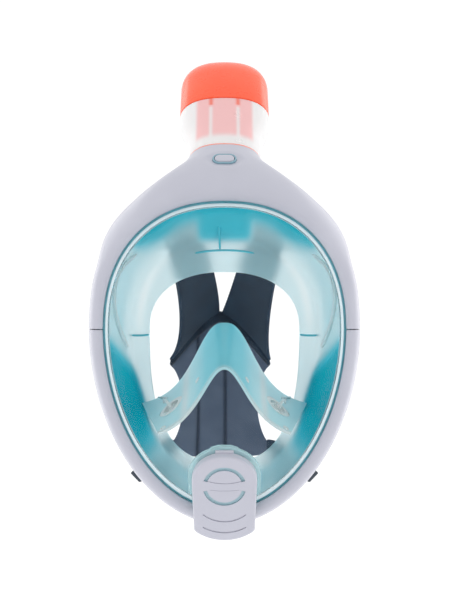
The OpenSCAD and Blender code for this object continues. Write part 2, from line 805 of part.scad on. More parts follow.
module chin_valve() {
    bottom = spider_top + run_gap;
    tail = spider_top - spider_t - run_gap - chin_travel;
    color(teal_colour)
    at_chin() {
        translate([0, 0, bottom]) cylinder(r1 = chin_disc_r, r2 = chin_disc_r - 1, h = disc_t);
        translate([0, 0, tail - 2]) cylinder(r = stem_r, h = bottom - tail + 2.5);
        translate([0, 0, tail - 2.5]) cylinder(r1 = 2, r2 = stem_r + 0.9, h = 2.5);
    }
}

module chin_cover() {
    color(frame_colour)
    at_chin() difference() {
        union() {
            translate([0, 0, cover_from]) linear_extrude(cover_d - 1.2) polygon(cover_outline(0));
            translate([0, 0, cover_from + cover_d - 1.2])
                linear_extrude(1.2, scale = 0.94) polygon(cover_outline(0));
            translate([-tab_w / 2, cover_crown - 4, cover_from]) cube([tab_w, 5.4, 2.4]);
        }
        translate([0, 0, cover_from - 1])
            linear_extrude(cover_d + 1 - cover_wall) polygon(cover_outline(-cover_wall));
        translate([0, 0, cover_from]) linear_extrude(20) {
            polygon(arc_band(12.6, vent_w, 17, 163));
            polygon(arc_band(12.6, vent_w, 194, 346));
        }
        translate([0, 0, cover_from + cover_d - 0.7]) linear_extrude(5) {
            translate([0, -5]) polygon(arc_band(20.4, 1, 228, 312));
            translate([0, -7.5]) polygon(arc_band(26, 1, 238, 302));
        }
    }
}

// Release button, in the neck's thick front below the socket; z out of the neck

bezel_half_l = button_half_l + 1.1;
bezel_r = button_r + 1.1;
button_face = socket_half_d + socket_wall + 1.2;
button_h = 5;
button_proud = 0.6;
button_low = button_proud - button_h;
button_lip = 0.2;
bezel_h = 3;
bezel_low = 0.2 - bezel_h;
pocket_deep = 10;
spring_r = 3;
spring_wire = 0.45;
spring_turns = 4;
module at_button()
    translate(tube_point(0, button_face, -button_drop)) rotate([90 - snorkel_tilt, 0, 0]) children();
module stadium(half_l, r, h) {
    for (side = [-1, 1]) translate([side * (half_l - r), 0, 0]) cylinder(r = r, h = h);
    translate([-(half_l - r), -r, 0]) cube([2 * (half_l - r), 2 * r, h]);
}

// The button's foot is wider than the bezel's opening, which keeps it in
module release_button() {
    color(frame_colour)
    at_button() {
        translate([0, 0, button_low]) stadium(button_half_l - run_gap, button_r - run_gap, button_h);
        translate([0, 0, button_low])
            stadium(button_half_l + button_lip, button_r + button_lip, bezel_low - run_gap - button_low);
    }
}

// The stepped pocket for the spring, the button's foot and the bezel
module button_pocket() {
    translate([0, 0, -pocket_deep]) cylinder(r = spring_r + spring_wire + run_gap, h = pocket_deep);
    translate([0, 0, button_low - button_travel - run_gap])
        stadium(button_half_l + button_lip + run_gap, button_r + button_lip + run_gap, 40);
    translate([0, 0, bezel_low - fit_gap]) stadium(bezel_half_l + fit_gap, bezel_r + fit_gap, 40);
}

module button_bezel() {
    color(teal_colour)
    at_button() translate([0, 0, bezel_low]) difference() {
        stadium(bezel_half_l, bezel_r, bezel_h);
        translate([0, 0, -1]) stadium(button_half_l, button_r, bezel_h + 2);
    }
}

module button_spring() {
    low = -pocket_deep + spring_wire + fit_gap;
    high = button_low - spring_wire - run_gap;
    steps = 16 * spring_turns;
    wire_steps = 6;
    rings = [for (i = [0:steps])
        let (a = 360 * spring_turns * i / steps, z = mix(low, high, i / steps))
        [for (k = [0:wire_steps - 1])
            let (b = 360 * k / wire_steps, r = spring_r + spring_wire * cos(b))
            [r * cos(a), r * sin(a), z + spring_wire * sin(b)]]];
    color(steel_colour)
    at_button() domed_solid([spring_r, 0, low], rings, [spring_r, 0, high]);
}

// Snorkel

spigot_half_w = socket_half_w - run_gap;
spigot_half_d = socket_half_d - run_gap;
spigot_l = socket_depth - 1;
gasket_t = 1;
tube_from = run_gap + gasket_t + fit_gap;
cap_from = snorkel_l - cap_l;
tube_to = cap_from + 8;
shoulder_w = socket_half_w + 2.2;
shoulder_d = socket_half_d + 2.2;
// Width, depth and height of the tube's outer sections above its shoulder; the last two lie inside the cap
cap_wall = 2.2;
cap_gap = 0.2;
rebate = cap_wall + cap_gap;
tube_sections = [
    [shoulder_w, shoulder_d, tube_from],
    [shoulder_w + 1, mix(shoulder_d, tube_half_d, 0.3), 0.48 * cap_from],
    [mix(shoulder_w, tube_half_w, 0.62), mix(shoulder_d, tube_half_d, 0.6), 0.68 * cap_from],
    [tube_half_w, mix(shoulder_d, tube_half_d, 0.9), 0.86 * cap_from],
    [tube_half_w, tube_half_d, cap_from - 0.4],
    [tube_half_w - rebate, tube_half_d - rebate, cap_from - 0.3],
    [tube_half_w - rebate, tube_half_d - rebate, tube_to]
];
// Wall of the tube at each section, thinned where the tube slips into the cap
function tube_inset(k) = k < 4 ? tube_wall : k == 4 ? rebate + tube_wall - 0.01 : tube_wall;
// Half width and depth of the tube's bore at a height w
function tube_half(w, k) =
    lookup(w, [
        for (i = [0:len(tube_sections) - 1]) [tube_sections[i][2], tube_sections[i][k] - tube_inset(i)]
    ]);

module snorkel_tube() {
    color(clear_colour)
    ring_solid([
        oval_ring(spigot_half_w, spigot_half_d, -spigot_l),
        oval_ring(spigot_half_w, spigot_half_d, tube_from),
        for (s = tube_sections) oval_ring(s[0], s[1], s[2]),
        for (k = [len(tube_sections) - 1:-1:0])
            let (s = tube_sections[k])
            oval_ring(s[0] - tube_inset(k), s[1] - tube_inset(k), s[2] + (k == 0 ? tube_wall : 0)),
        oval_ring(spigot_half_w - tube_wall, spigot_half_d - tube_wall, tube_from),
        oval_ring(spigot_half_w - tube_wall, spigot_half_d - tube_wall, -spigot_l)
    ]);
}

module tube_gasket() {
    color(orange_colour)
    ring_solid([
        oval_ring(spigot_half_w + fit_gap, spigot_half_d + fit_gap, run_gap),
        oval_ring(shoulder_w + 0.6, shoulder_d + 0.6, run_gap),
        oval_ring(shoulder_w + 0.6, shoulder_d + 0.6, run_gap + gasket_t),
        oval_ring(spigot_half_w + fit_gap, spigot_half_d + fit_gap, run_gap + gasket_t)
    ]);
}

wall_low = 5;
wall_high = cap_from - 12;
wall_steps = 6;
float_low = wall_high - float_l - 4;
// Half depth of the tube's bore at a distance x from its middle
function bore_reach(x, w) = tube_half(w, 1) * pow(1 - pow(x / tube_half(w, 0), oval_n), 1 / oval_n);

module channel_wall(side) {
    section_solid([
        for (i = [0:wall_steps])
            let (
                w = mix(wall_low, wall_high, i / wall_steps),
                reach = bore_reach(divider_x + divider_t, w) - 2 * fit_gap,
                near = side * divider_x - divider_t / 2, far = side * divider_x + divider_t / 2
            )
            [
                [tube_point(near, -reach, w), tube_point(near, reach, w)],
                [tube_point(far, -reach, w), tube_point(far, reach, w)]
            ]
    ]);
}

module channel_walls() {
    color(clear_colour)
    union() {
        for (side = [-1, 1]) channel_wall(side);
        at_tube() translate([-divider_x, -4, float_low - 3.4]) cube([2 * divider_x, 8, 3]);
    }
}

float_half_w = divider_x - divider_t / 2 - 0.6;
float_half_d = 10;
float_seal_t = 2;
float_corner = 4;
module float_prism(grow, h)
    linear_extrude(h) polygon([
        for (c = [[1, 1, 0], [-1, 1, 90], [-1, -1, 180], [1, -1, 270]], a = [0:22.5:90])
            [c[0] * (float_half_w - float_corner), c[1] * (float_half_d - float_corner)]
            + (float_corner + grow) * [cos(a + c[2]), sin(a + c[2])]
    ]);

module float() {
    color("#f2f2ee")
    at_tube() translate([0, 0, float_low]) float_prism(0, float_l);
}

module float_seal() {
    color(teal_colour)
    at_tube() translate([0, 0, float_low + float_l + 0.1]) float_prism(-1, float_seal_t);
}

// The cage holds the port that the float shuts, on four legs above the dividing walls
cage_from = wall_high + 1;
cage_port = float_low + float_l + 0.1 + float_seal_t + float_travel + run_gap;
cage_t = 3;
leg_w = 3;
leg_x = float_half_w + run_gap + leg_w / 2;
leg_d = 7;
leg_q = 5.5;
exhale_port_r = 5;
module valve_cage() {
    half_w = tube_half(cage_port + cage_t, 0) - 2 * fit_gap;
    half_d = tube_half(cage_port + cage_t, 1) - 2 * fit_gap;
    color(orange_colour)
    union() {
        difference() {
            ring_plate(half_w, half_d, cage_port, cage_t);
            at_tube() translate([0, 0, cage_port - 1]) cylinder(r = float_half_w - 2.4, h = cage_t + 2);
            at_tube() for (side = [-1, 1])
                translate([side * (divider_x + half_w) / 2, 0, cage_port - 1])
                    cylinder(r = exhale_port_r, h = cage_t + 2);
        }
        at_tube() for (sx = [-1, 1], sy = [-1, 1])
            translate([sx * leg_x - leg_w / 2, sy > 0 ? leg_q : -leg_q - leg_d, cage_from])
                cube([leg_w, leg_d, cage_port - cage_from + 0.5]);
    }
}
module ring_plate(half_w, half_d, w, h)
    domed_solid(
        tube_point(0, 0, w),
        [for (rise = [0, h]) oval_ring(half_w, half_d, w + rise)],
        tube_point(0, 0, w + h)
    );

// The cap slips over the tube's top; air enters through a slot in its rear wall
cap_dome = 26;
cap_steps = 7;
inlet_half_l = 14;
inlet_r = 3;
function cap_ring(k, inset) =
    let (a = 90 * k / cap_steps)
    oval_ring(
        (tube_half_w - inset) * pow(cos(a), 0.45), (tube_half_d - inset) * pow(cos(a), 0.5),
        snorkel_l - cap_dome + (cap_dome - inset) * sin(a)
    );

module cap_shell() {
    domed_solid(
        tube_point(0, 0, snorkel_l - cap_wall),
        [
            for (k = [cap_steps - 1:-1:0]) cap_ring(k, cap_wall),
            oval_ring(tube_half_w - cap_wall, tube_half_d - cap_wall, cap_from),
            oval_ring(tube_half_w, tube_half_d, cap_from),
            for (k = [0:cap_steps - 1]) cap_ring(k, 0)
        ],
        tube_point(0, 0, snorkel_l)
    );
}

module snorkel_cap() {
    color(orange_colour)
    difference() {
        cap_shell();
        at_tube() translate([0, tube_half_d / 2, tube_to + 3 * inlet_r])
            rotate([-90, 0, 0]) stadium(inlet_half_l, inlet_r, tube_half_d);
    }
}

// Harness: clasps on the frame's rear edge, straps and back pad

upper_clasp_t = 64;
lower_clasp_t = -56;
clasp_h = 8;
clasp_d = 9;
clasp_w = strap_w + 8;
clasp_side = clasp_w / 2;
clasp_back_wall = 2.4;
slot_clear = 0.8;
upper_clasp_u = 3.2;
lower_clasp_u = 6;
// The clasp's own directions: along the rim, back along the strap and outwards
function clasp_x(t) = -rim_along(t);
function clasp_z(t) = rim_out(t);
function clasp_y(t) = cross(clasp_z(t), clasp_x(t));
clasp_back = frame_depth + 0.95;
module at_clasp(t, u) {
    x = clasp_x(t);
    y = clasp_y(t);
    z = clasp_z(t);
    c = rim_point(t, u, clasp_back);
    multmatrix([
        [x[0], y[0], z[0], c[0]], [x[1], y[1], z[1], c[1]], [x[2], y[2], z[2], c[2]], [0, 0, 0, 1]
    ]) children();
}
// The recess in the frame that takes an upper clasp and lets its strap out backwards
module clasp_recesses()
    for (side = [0, 1]) mirror([side, 0, 0]) at_clasp(upper_clasp_t, upper_clasp_u)
        translate([-clasp_side - fit_gap, -fit_gap, -clasp_h / 2 - fit_gap])
            cube([clasp_w + 2 * fit_gap, 5 * clasp_d, clasp_h + 2 * fit_gap]);

module clasp(t, u, lug) {
    color(dark_colour)
    at_clasp(t, u) difference() {
        union() {
            translate([-clasp_side, 0, -clasp_h / 2]) cube([clasp_w, clasp_d, clasp_h]);
            translate([-clasp_side + 2, 1.5, 0]) cube([9, clasp_d - 3, max(1, lug)]);
        }
        translate([-strap_w / 2 - slot_clear, clasp_back_wall, -strap_t / 2 - slot_clear])
            cube([strap_w + 2 * slot_clear, clasp_d, strap_t + 2 * slot_clear]);
    }
}
// The lower clasps have a small lug that shows beyond the frame
clasp_lug = 8.5;
module upper_clasp_right() clasp(upper_clasp_t, upper_clasp_u, 0);
module upper_clasp_left() mirror([1, 0, 0]) clasp(upper_clasp_t, upper_clasp_u, 0);
module lower_clasp_right() clasp(lower_clasp_t, lower_clasp_u, clasp_lug);
module lower_clasp_left() mirror([1, 0, 0]) clasp(lower_clasp_t, lower_clasp_u, clasp_lug);

pad_curve = 14;
hem_fall = 37;
hem_r = 4.4;
hem_d = 3.2;
seam_clear = 0.35;
strap_steps = 14;
function pad_y(x) = pad_back - pad_curve * pow(x / pad_half_w, 2);
function hem_z(x) = hem_top - hem_fall * pow(abs(x) / pad_half_w, 1.35);

// A strap is a band of curves side by side, each with its start, its end and its pull at the end
strap_columns = 6;
module band(starts, ends, start_pull, end_pulls) {
    function place(k, s) = hermite(starts[k], start_pull, ends[k], end_pulls[k], s);
    function lift(k, s) =
        let (
            across = place(min(strap_columns, k + 1), s) - place(max(0, k - 1), s),
            along = place(k, min(1, s + 0.01)) - place(k, max(0, s - 0.01))
        ) strap_t / 2 * unit(cross(across, along));
    section_solid([
        for (i = [0:strap_steps])
            let (s = i / strap_steps)
            [
                [for (k = [0:strap_columns]) place(k, s) + lift(k, s)],
                [for (k = [0:strap_columns]) place(k, s) - lift(k, s)]
            ]
    ]);
}
// Points across a strap where it leaves its clasp
function strap_starts(t, u, turn) =
    [for (k = [0:strap_columns])
        rim_point(t, u, clasp_back) + (clasp_back_wall + slot_clear) * clasp_y(t)
        + turn * strap_w * (k / strap_columns - 0.5) * clasp_x(t)];

// An upper strap leans towards the pad and flares at its end to meet its half of the pad's hem
strap_middle = 0.8;
strap_rise = 2.3;
inner_pull = -15;
outer_pull = 45;
strap_lean = 5.7;
module upper_strap(shift) {
    t = upper_clasp_t;
    ends = [for (k = [0:strap_columns])
        let (x = mix(strap_middle, pad_half_w - seam_clear, k / strap_columns))
        [shift + x, pad_y(x) + pad_t / 2, hem_z(x) + hem_r + strap_rise]];
    color(strap_colour)
    band(strap_starts(t, upper_clasp_u, 1), ends, 150 * clasp_y(t),
        [for (k = [0:strap_columns])
            [mix(inner_pull, outer_pull, k / strap_columns) + strap_lean * shift, 40, -75]]);
}
module upper_strap_right() upper_strap(pad_shift);
module upper_strap_left() mirror([1, 0, 0]) upper_strap(-pad_shift);

// A lower strap narrows to meet the pad's side
strap_low = 2.5;
strap_end_w = 14;
module lower_strap(shift) {
    t = lower_clasp_t;
    ends = [for (k = [0:strap_columns])
        [
            shift + pad_half_w + seam_clear, pad_y(pad_half_w) + pad_t / 2,
            -pad_drop + strap_low + strap_end_w * k / strap_columns
        ]];
    color(strap_colour)
    band(strap_starts(t, lower_clasp_u, -1), ends, 120 * clasp_y(t),
        [for (k = [0:strap_columns]) [-60, 70, 0]]);
}
module lower_strap_right() lower_strap(pad_shift);
module lower_strap_left() mirror([1, 0, 0]) lower_strap(-pad_shift);

hem_steps = 24;
module pad_hem() {
    sides = 8;
    rings = [for (i = [0:hem_steps])
        let (x = pad_half_w * (2 * i / hem_steps - 1))
        [for (k = [0:sides - 1])
            let (a = 360 * k / sides)
            [x, pad_y(x) + pad_t / 2 + hem_d * cos(a), hem_z(x) - hem_r * sin(a)]]];
    end_y = pad_y(pad_half_w) + pad_t / 2;
    color(dark_colour)
    translate([pad_shift, 0, 0]) domed_solid(
        [-pad_half_w, end_y, hem_z(pad_half_w)], rings, [pad_half_w, end_y, hem_z(pad_half_w)]
    );
}

// The pad is thickest in its middle, thin at its edges and pressed in along two upright channels
pad_rows = 8;
pad_columns = 40;
channel_x = 11;
channel_middle = -7;
channel_w = 2.4;
channel_depth = 1.6;
edge_share = 0.45;
function pad_fill(x, row) =
    let (
        across = 1 - pow(abs(x) / pad_half_w, 6), along = 1 - pow(abs(2 * row - 1), 8),
        press = max(0, 1 - abs(abs(x - channel_middle) - channel_x) / channel_w)
    ) pad_t * (edge_share + (1 - edge_share) * across * along) - channel_depth * press;

// Its sides pull in between the hem and the lower straps
pad_waist = 10;
waist_end = 0.875;
function pad_x(x, row) =
    x - sign(x) * pad_waist * pow(abs(x) / pad_half_w, 3) * pow(sin(180 * min(1, row / waist_end)), 0.6);
function pad_point(x, row, front) =
    let (
        px = pad_x(x, row), top = hem_z(x) - hem_r - seam_clear, low = -pad_drop + 5 * pow(x / pad_half_w, 2)
    ) [px, pad_y(px) + pad_t - (front ? pad_fill(x, row) : 0), mix(top, low, row)];

module back_pad() {
    color(pad_colour)
    translate([pad_shift, 0, 0]) section_solid([
        for (i = [0:pad_columns])
            let (x = pad_half_w * (2 * i / pad_columns - 1))
            [
                [for (k = [0:pad_rows]) pad_point(x, k / pad_rows, true)],
                [for (k = [0:pad_rows]) pad_point(x, k / pad_rows, false)]
            ]
    ]);
}

upper_frame();
lower_frame();
retainer_ring();
frame_joiner_left();
frame_joiner_right();
frame_screws();
lens();
face_skirt();
nose_pocket();
inhale_seat_left();
inhale_seat_right();
inhale_valve_left();
inhale_valve_right();
chin_valve_seat();
chin_valve();
chin_cover();
snorkel_tube();
tube_gasket();
channel_walls();
valve_cage();
float();
float_seal();
snorkel_cap();
release_button();
button_bezel();
button_spring();
upper_clasp_left();
upper_clasp_right();
lower_clasp_left();
lower_clasp_right();
upper_strap_left();
upper_strap_right();
lower_strap_left();
lower_strap_right();
pad_hem();
back_pad();
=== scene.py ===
# %% [markdown]
# # A full-face snorkel mask
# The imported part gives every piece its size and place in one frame: X runs sideways, Y runs from the
# lens back to the wearer's head and Z runs up. This lesson gives the pieces their looks. It works in
# millimetres, as the part's source does, and MM turns them into Blender's metres.

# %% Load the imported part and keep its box
import math

import bmesh
import bpy
from mathutils import Matrix, Vector


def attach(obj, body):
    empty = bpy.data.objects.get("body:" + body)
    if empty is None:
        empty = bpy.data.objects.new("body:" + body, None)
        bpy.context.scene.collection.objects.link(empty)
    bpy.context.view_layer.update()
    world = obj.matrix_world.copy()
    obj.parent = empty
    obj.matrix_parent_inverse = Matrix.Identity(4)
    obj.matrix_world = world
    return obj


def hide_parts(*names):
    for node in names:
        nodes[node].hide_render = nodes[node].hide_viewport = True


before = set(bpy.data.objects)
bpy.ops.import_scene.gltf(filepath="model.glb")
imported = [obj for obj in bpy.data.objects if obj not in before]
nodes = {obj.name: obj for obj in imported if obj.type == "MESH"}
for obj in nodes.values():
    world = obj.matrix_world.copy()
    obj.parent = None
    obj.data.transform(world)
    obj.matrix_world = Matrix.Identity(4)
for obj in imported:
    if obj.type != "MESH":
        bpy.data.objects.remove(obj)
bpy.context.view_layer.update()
MM = 0.001
print("pieces in the packed part:", len(nodes))

# %% [markdown]
# ## Working by hand, in code
# Each helper below is one habit of the hand: put everything down, pick up one piece, open it for editing,
# add a modifier and apply it, weld a seam, cut with a second shape. Operators act on whatever is selected,
# so a piece is only ever picked up after everything else is put down.

# %% Helpers for picking up and opening a piece
def close_up():
    bpy.ops.object.mode_set(mode="OBJECT")


def put_down():
    if bpy.context.object and bpy.context.object.mode != "OBJECT":
        close_up()
    bpy.ops.object.select_all(action="DESELECT")


def pick_up(piece):
    put_down()
    piece.select_set(True)
    bpy.context.view_layer.objects.active = piece


def open_up(piece, action="SELECT"):
    pick_up(piece)
    bpy.ops.object.mode_set(mode="EDIT")
    bpy.ops.mesh.select_all(action=action)


def named(name):
    piece = bpy.context.object
    piece.name = piece.data.name = name
    return piece


def report(piece):
    print(piece.name, "has", len(piece.data.polygons), "faces")


print("pieces can be picked up and opened")

# %% [markdown]
# A modifier could stay live on its piece, but a later cut or paint has to see the finished corners, so each
# one is applied as soon as it is set. A weld closes the seam where a grid's edges meet.

# %% Helpers for modifiers, welds and cuts
WELD_REACH = 0.02


def apply_modifier(piece, kind, **values):
    pick_up(piece)
    modifier = piece.modifiers.new(kind.title(), kind)
    for key, value in values.items():
        setattr(modifier, key, value)
    bpy.ops.object.modifier_apply(modifier=modifier.name)


def subdivide(piece, levels):
    apply_modifier(piece, "SUBSURF", levels=levels, render_levels=levels)


def bevel(piece, width, segments, angle):
    """Rounds the edges that turn by more than the angle."""
    turn = math.radians(angle)
    apply_modifier(
        piece, "BEVEL", width=width * MM, segments=segments, limit_method="ANGLE", angle_limit=turn
    )


def weld(piece, fill=False):
    open_up(piece)
    bpy.ops.mesh.remove_doubles(threshold=WELD_REACH * MM)
    if fill:
        bpy.ops.mesh.fill_holes(sides=0)
        bpy.ops.mesh.select_all(action="SELECT")
    bpy.ops.mesh.normals_make_consistent(inside=False)
    close_up()


def turn_out(piece):
    """Turns a closed shell's faces outwards where its volume shows that they point inwards."""
    shell = bmesh.new()
    shell.from_mesh(piece.data)
    inside_out = shell.calc_volume(signed=True) < 0
    shell.free()
    if inside_out:
        open_up(piece)
        bpy.ops.mesh.flip_normals()
        close_up()


def smooth(piece, angle=35):
    pick_up(piece)
    bpy.ops.object.shade_smooth_by_angle(angle=math.radians(angle))


def cut(piece, tool, operation="DIFFERENCE"):
    apply_modifier(piece, "BOOLEAN", object=tool, operation=operation, solver="EXACT")
    bpy.data.objects.remove(tool)


def join(piece, details):
    pick_up(piece)
    for detail in details:
        detail.select_set(True)
    bpy.ops.object.join()


print("corners closer than", WELD_REACH, "mm are welded")

# %% [markdown]
# ## Laying a flat grid on a curved surface
# Most of this mask is moulded: the lens, frame, skirt and snorkel have no flat face and no straight
# edge. They could be pushed into shape corner by corner, but a moulding is drawn from a few curves, so
# a grid primitive is added flat and each of its corners is carried to its place on those curves. The
# grid keeps its own UV map, which the woven pieces need later.

# %% A grid laid on a surface
def mix(a, b, s):
    return a + (b - a) * s


def lay(name, across, along, place):
    put_down()
    bpy.ops.mesh.primitive_grid_add(x_subdivisions=across, y_subdivisions=along, size=2)
    piece = named(name)
    for corner in piece.data.vertices:
        u, v = (corner.co.x + 1) / 2, (corner.co.y + 1) / 2
        corner.co = MM * Vector(place(u, v))
    return piece


def lay_rings(name, round_steps, rings):
    """Rings of points, each a function of the angle round it, joined in order."""
    last = len(rings) - 1
    piece = lay(name, round_steps, last, lambda u, v: rings[round(v * last)](360 * u))
    weld(piece)
    return piece


def hermite(a, pull_a, b, pull_b, s):
    return (
        (2 * s**3 - 3 * s**2 + 1) * a
        + (s**3 - 2 * s**2 + s) * pull_a
        + (3 * s**2 - 2 * s**3) * b
        + (s**3 - s**2) * pull_b
    )


print("a grid can be laid on any surface")

# %% [markdown]
# ## The rim
# Lens, frame and skirt all follow one egg-shaped rim that is swept back at the sides to fit a face. It could
# be traced by hand, but a formula keeps all three in step: a superellipse, a little squarer above the widest
# level than below it.

# %% The rim's outline and its sweep
RIM_HALF_W, RIM_TOP, RIM_BOTTOM = 81, 84.5, 118
RIM_DEPTH, RIM_WRAP = 62, 16
SQUARE_TOP, SQUARE_BOTTOM = 2.25, 1.93


def signed_power(value, power):
    return math.copysign(abs(value) ** power, value)


def cosd(angle):
    return math.cos(math.radians(angle))


def sind(angle):
    return math.sin(math.radians(angle))


def egg(t, half_w, top, bottom, square_bottom=SQUARE_BOTTOM):
    upper = sind(t) >= 0
    n = SQUARE_TOP if upper else square_bottom
    reach = top if upper else bottom
    return half_w * signed_power(cosd(t), 2 / n), reach * signed_power(sind(t), 2 / n)


def rim_y(x):
    return -RIM_DEPTH + RIM_WRAP * (x / RIM_HALF_W) ** 2


def rim_point(t, u, v):
    x, z = egg(t, RIM_HALF_W + u, RIM_TOP + u, RIM_BOTTOM + u)
    return Vector((x, rim_y(x) + v, z))


def rim_out(t):
    (x0, z0), (x1, z1) = (egg(t + step, RIM_HALF_W, RIM_TOP, RIM_BOTTOM) for step in (-0.5, 0.5))
    return Vector((z1 - z0, 0, x0 - x1)).normalized()


def rim_along(t):
    return (rim_point(t + 0.5, 0, 0) - rim_point(t - 0.5, 0, 0)).normalized()


print("rim", 2 * RIM_HALF_W, "mm wide and", RIM_TOP + RIM_BOTTOM, "mm high")

# %% [markdown]
# ## The snorkel's own frame
# The snorkel leans back. It could be made upright and tilted, but the neck has to grow into its socket, so
# socket, tube and cap are drawn in place, in a leaning frame: sideways, towards the snorkel's front face,
# and along its axis.

# %% The socket's mouth and the snorkel's oval sections
SNORKEL_TILT = 50
SOCKET_MOUTH = Vector((0, -19, 111))
TUBE_FRONT = Vector((0, -cosd(SNORKEL_TILT), sind(SNORKEL_TILT)))
TUBE_AXIS = Vector((0, sind(SNORKEL_TILT), cosd(SNORKEL_TILT)))
OVAL_POWER = 2 / 2.4


def tube_point(x, q, w):
    return SOCKET_MOUTH + Vector((x, 0, 0)) + q * TUBE_FRONT + w * TUBE_AXIS


def oval_point(a, half_w, half_d, w):
    return tube_point(
        half_w * signed_power(cosd(a), OVAL_POWER), half_d * signed_power(sind(a), OVAL_POWER), w
    )


def oval(half_w, half_d, w):
    return lambda a: oval_point(a, half_w, half_d, w)


def frame_at(origin, turn):
    return Matrix.Translation(MM * Vector(origin)) @ Matrix.Rotation(math.radians(turn), 4, "X")


BUTTON_OUT, BUTTON_LOW = 19.9, 19
CHIN_SPOT, CHIN_TURN = (0, -82.297, -95), 112
AT_TUBE = frame_at(SOCKET_MOUTH, -SNORKEL_TILT)
AT_BUTTON = frame_at(tube_point(0, BUTTON_OUT, -BUTTON_LOW), 90 - SNORKEL_TILT)
AT_CHIN = frame_at(CHIN_SPOT, CHIN_TURN)
print("the snorkel leans back by", SNORKEL_TILT, "degrees")

# %% [markdown]
# ## Bars and blocks to cut with
# Holes and pockets are cut with simple solids: a round bar, an oval bar stretched from a round one, and
# a block. Each is modelled at the origin and then carried into the frame of the piece that it cuts.

# %% Cutting tools
def carry(piece, place):
    pick_up(piece)
    piece.matrix_world = place
    bpy.ops.object.transform_apply(location=True, rotation=True, scale=True)
    return piece


def oval_bar(name, half_l, r, low, high, place, vertices=48):
    """A round bar whose two halves are moved apart until it is as long as an oval."""
    put_down()
    middle = (0, 0, (low + high) / 2 * MM)
    bpy.ops.mesh.primitive_cylinder_add(
        vertices=vertices, radius=r * MM, depth=(high - low) * MM, location=middle
    )
    piece = named(name)
    bpy.ops.object.transform_apply(location=True)
    for side in (-1, 1):
        open_up(piece, "DESELECT")
        close_up()
        for corner in piece.data.vertices:
            corner.select = side * corner.co.x > 0.01 * MM
        bpy.ops.object.mode_set(mode="EDIT")
        bpy.ops.transform.translate(value=(side * (half_l - r) * MM, 0, 0))
        close_up()
    return carry(piece, place)


def block(name, low, high, place=Matrix.Identity(4)):
    put_down()
    bpy.ops.mesh.primitive_cube_add(size=1)
    piece = named(name)
    for corner in piece.data.vertices:
        corner.co = [MM * (low[i] if corner.co[i] < 0 else high[i]) for i in range(3)]
    return carry(piece, place)


print("cutting tools ready")

# %% [markdown]
# ## Clasps' places
# Four clasps sit behind the frame. Each one has its own frame: along the rim, back along its strap, and
# outwards. The upper frame needs these places too, because its rear edge is recessed for two of them.

# %% Frames of the clasps
UPPER_CLASP_T, LOWER_CLASP_T = 64, -56
UPPER_CLASP_U, LOWER_CLASP_U = 3.2, 6
CLASP_BACK = 22.95
CLASP_HALF_W, CLASP_L, CLASP_HALF_T, CLASP_CLEAR = 17, 9, 4, 0.15


def clasp_axes(t):
    x, z = -rim_along(t), rim_out(t)
    return x, z.cross(x), z


def clasp_frame(t, u):
    x, y, z = clasp_axes(t)
    place = Matrix((x, y, z)).transposed().to_4x4()
    return Matrix.Translation(MM * rim_point(t, u, CLASP_BACK)) @ place


MIRROR = Matrix.Scale(-1, 4, (1, 0, 0))
print("clasps at", UPPER_CLASP_T, "and", LOWER_CLASP_T, "degrees round the rim")

# %% [markdown]
# ## Frame halves
# The white frame is two mouldings that meet at the sides. The lower one is a plain arch with a rolled
# lip that holds the lens. It is laid as a tube with sixteen corners in its section, its ends are filled,
# and Subdivision Surface rounds it. Each corner remembers its section and its place in it, so that edges
# and faces can be picked by them later.

# %% The frame's section and its arch
FRAME_W, FRAME_DEPTH = 10.5, 22
OUTER = [
    (0, -3.2), (2.52, -4.7), (6.09, -4.7), (9.03, -2.6),
    (FRAME_W, 2.64), (FRAME_W, 9.9), (9.8, 17.16), (8.6, FRAME_DEPTH),
]
INNER = [
    (0, -0.15), (2.52, -0.15), (4.3, -0.15), (4.3, 2.65),
    (4.3, 8.05), (7.1, 9.55), (6.8, 17.16), (6.5, FRAME_DEPTH),
]
SECTION = OUTER + INNER[::-1]
OUTER_SIDE = range(2, 8)
ARCH_STEPS = 36


def frame_arch(name, start, end, fill=lambda i: 0):
    """Lays the arch; fill(i) is how far section i's outer side stands further out."""
    put_down()
    bpy.ops.mesh.primitive_grid_add(x_subdivisions=ARCH_STEPS, y_subdivisions=len(SECTION), size=2)
    piece = named(name)
    section = piece.data.attributes.new("section", "INT", "POINT")
    corner_of = piece.data.attributes.new("place", "INT", "POINT")
    for corner in piece.data.vertices:
        i = round((corner.co.x + 1) / 2 * ARCH_STEPS)
        k = round((corner.co.y + 1) / 2 * len(SECTION)) % len(SECTION)
        section.data[corner.index].value, corner_of.data[corner.index].value = i, k
        out, back = SECTION[k]
        if k in OUTER_SIDE:
            out += fill(i)
        corner.co = MM * rim_point(mix(start, end, i / ARCH_STEPS), out, back)
    weld(piece, fill=True)
    return piece


print("the frame's section has", len(SECTION), "corners")

# %% [markdown]
# Subdivision alone would round every edge alike. Creases keep the lens groove and the seam crisp, and the
# halves stop just short of each other, so a fine seam shows at each side.

# %% Crease the arch and make the lower frame
CRISP, CRISP_CREASE, SEAM_CREASE = {0, 7, 8, 11, 13, 15}, 0.6, 0.85
SEAM_HALF = 0.12


def crease(piece, chosen, value):
    """Creases the edges that chosen() accepts, given the section and the corner of both ends."""
    open_up(piece, "DESELECT")
    bpy.ops.mesh.select_mode(type="EDGE")
    mesh = bmesh.from_edit_mesh(piece.data)
    section, corner_of = mesh.verts.layers.int["section"], mesh.verts.layers.int["place"]
    for edge in mesh.edges:
        a, b = edge.verts
        edge.select_set(chosen((a[section], a[corner_of]), (b[section], b[corner_of])))
    bmesh.update_edit_mesh(piece.data)
    bpy.ops.transform.edge_crease(value=value)
    bpy.ops.mesh.select_mode(type="VERT")
    close_up()


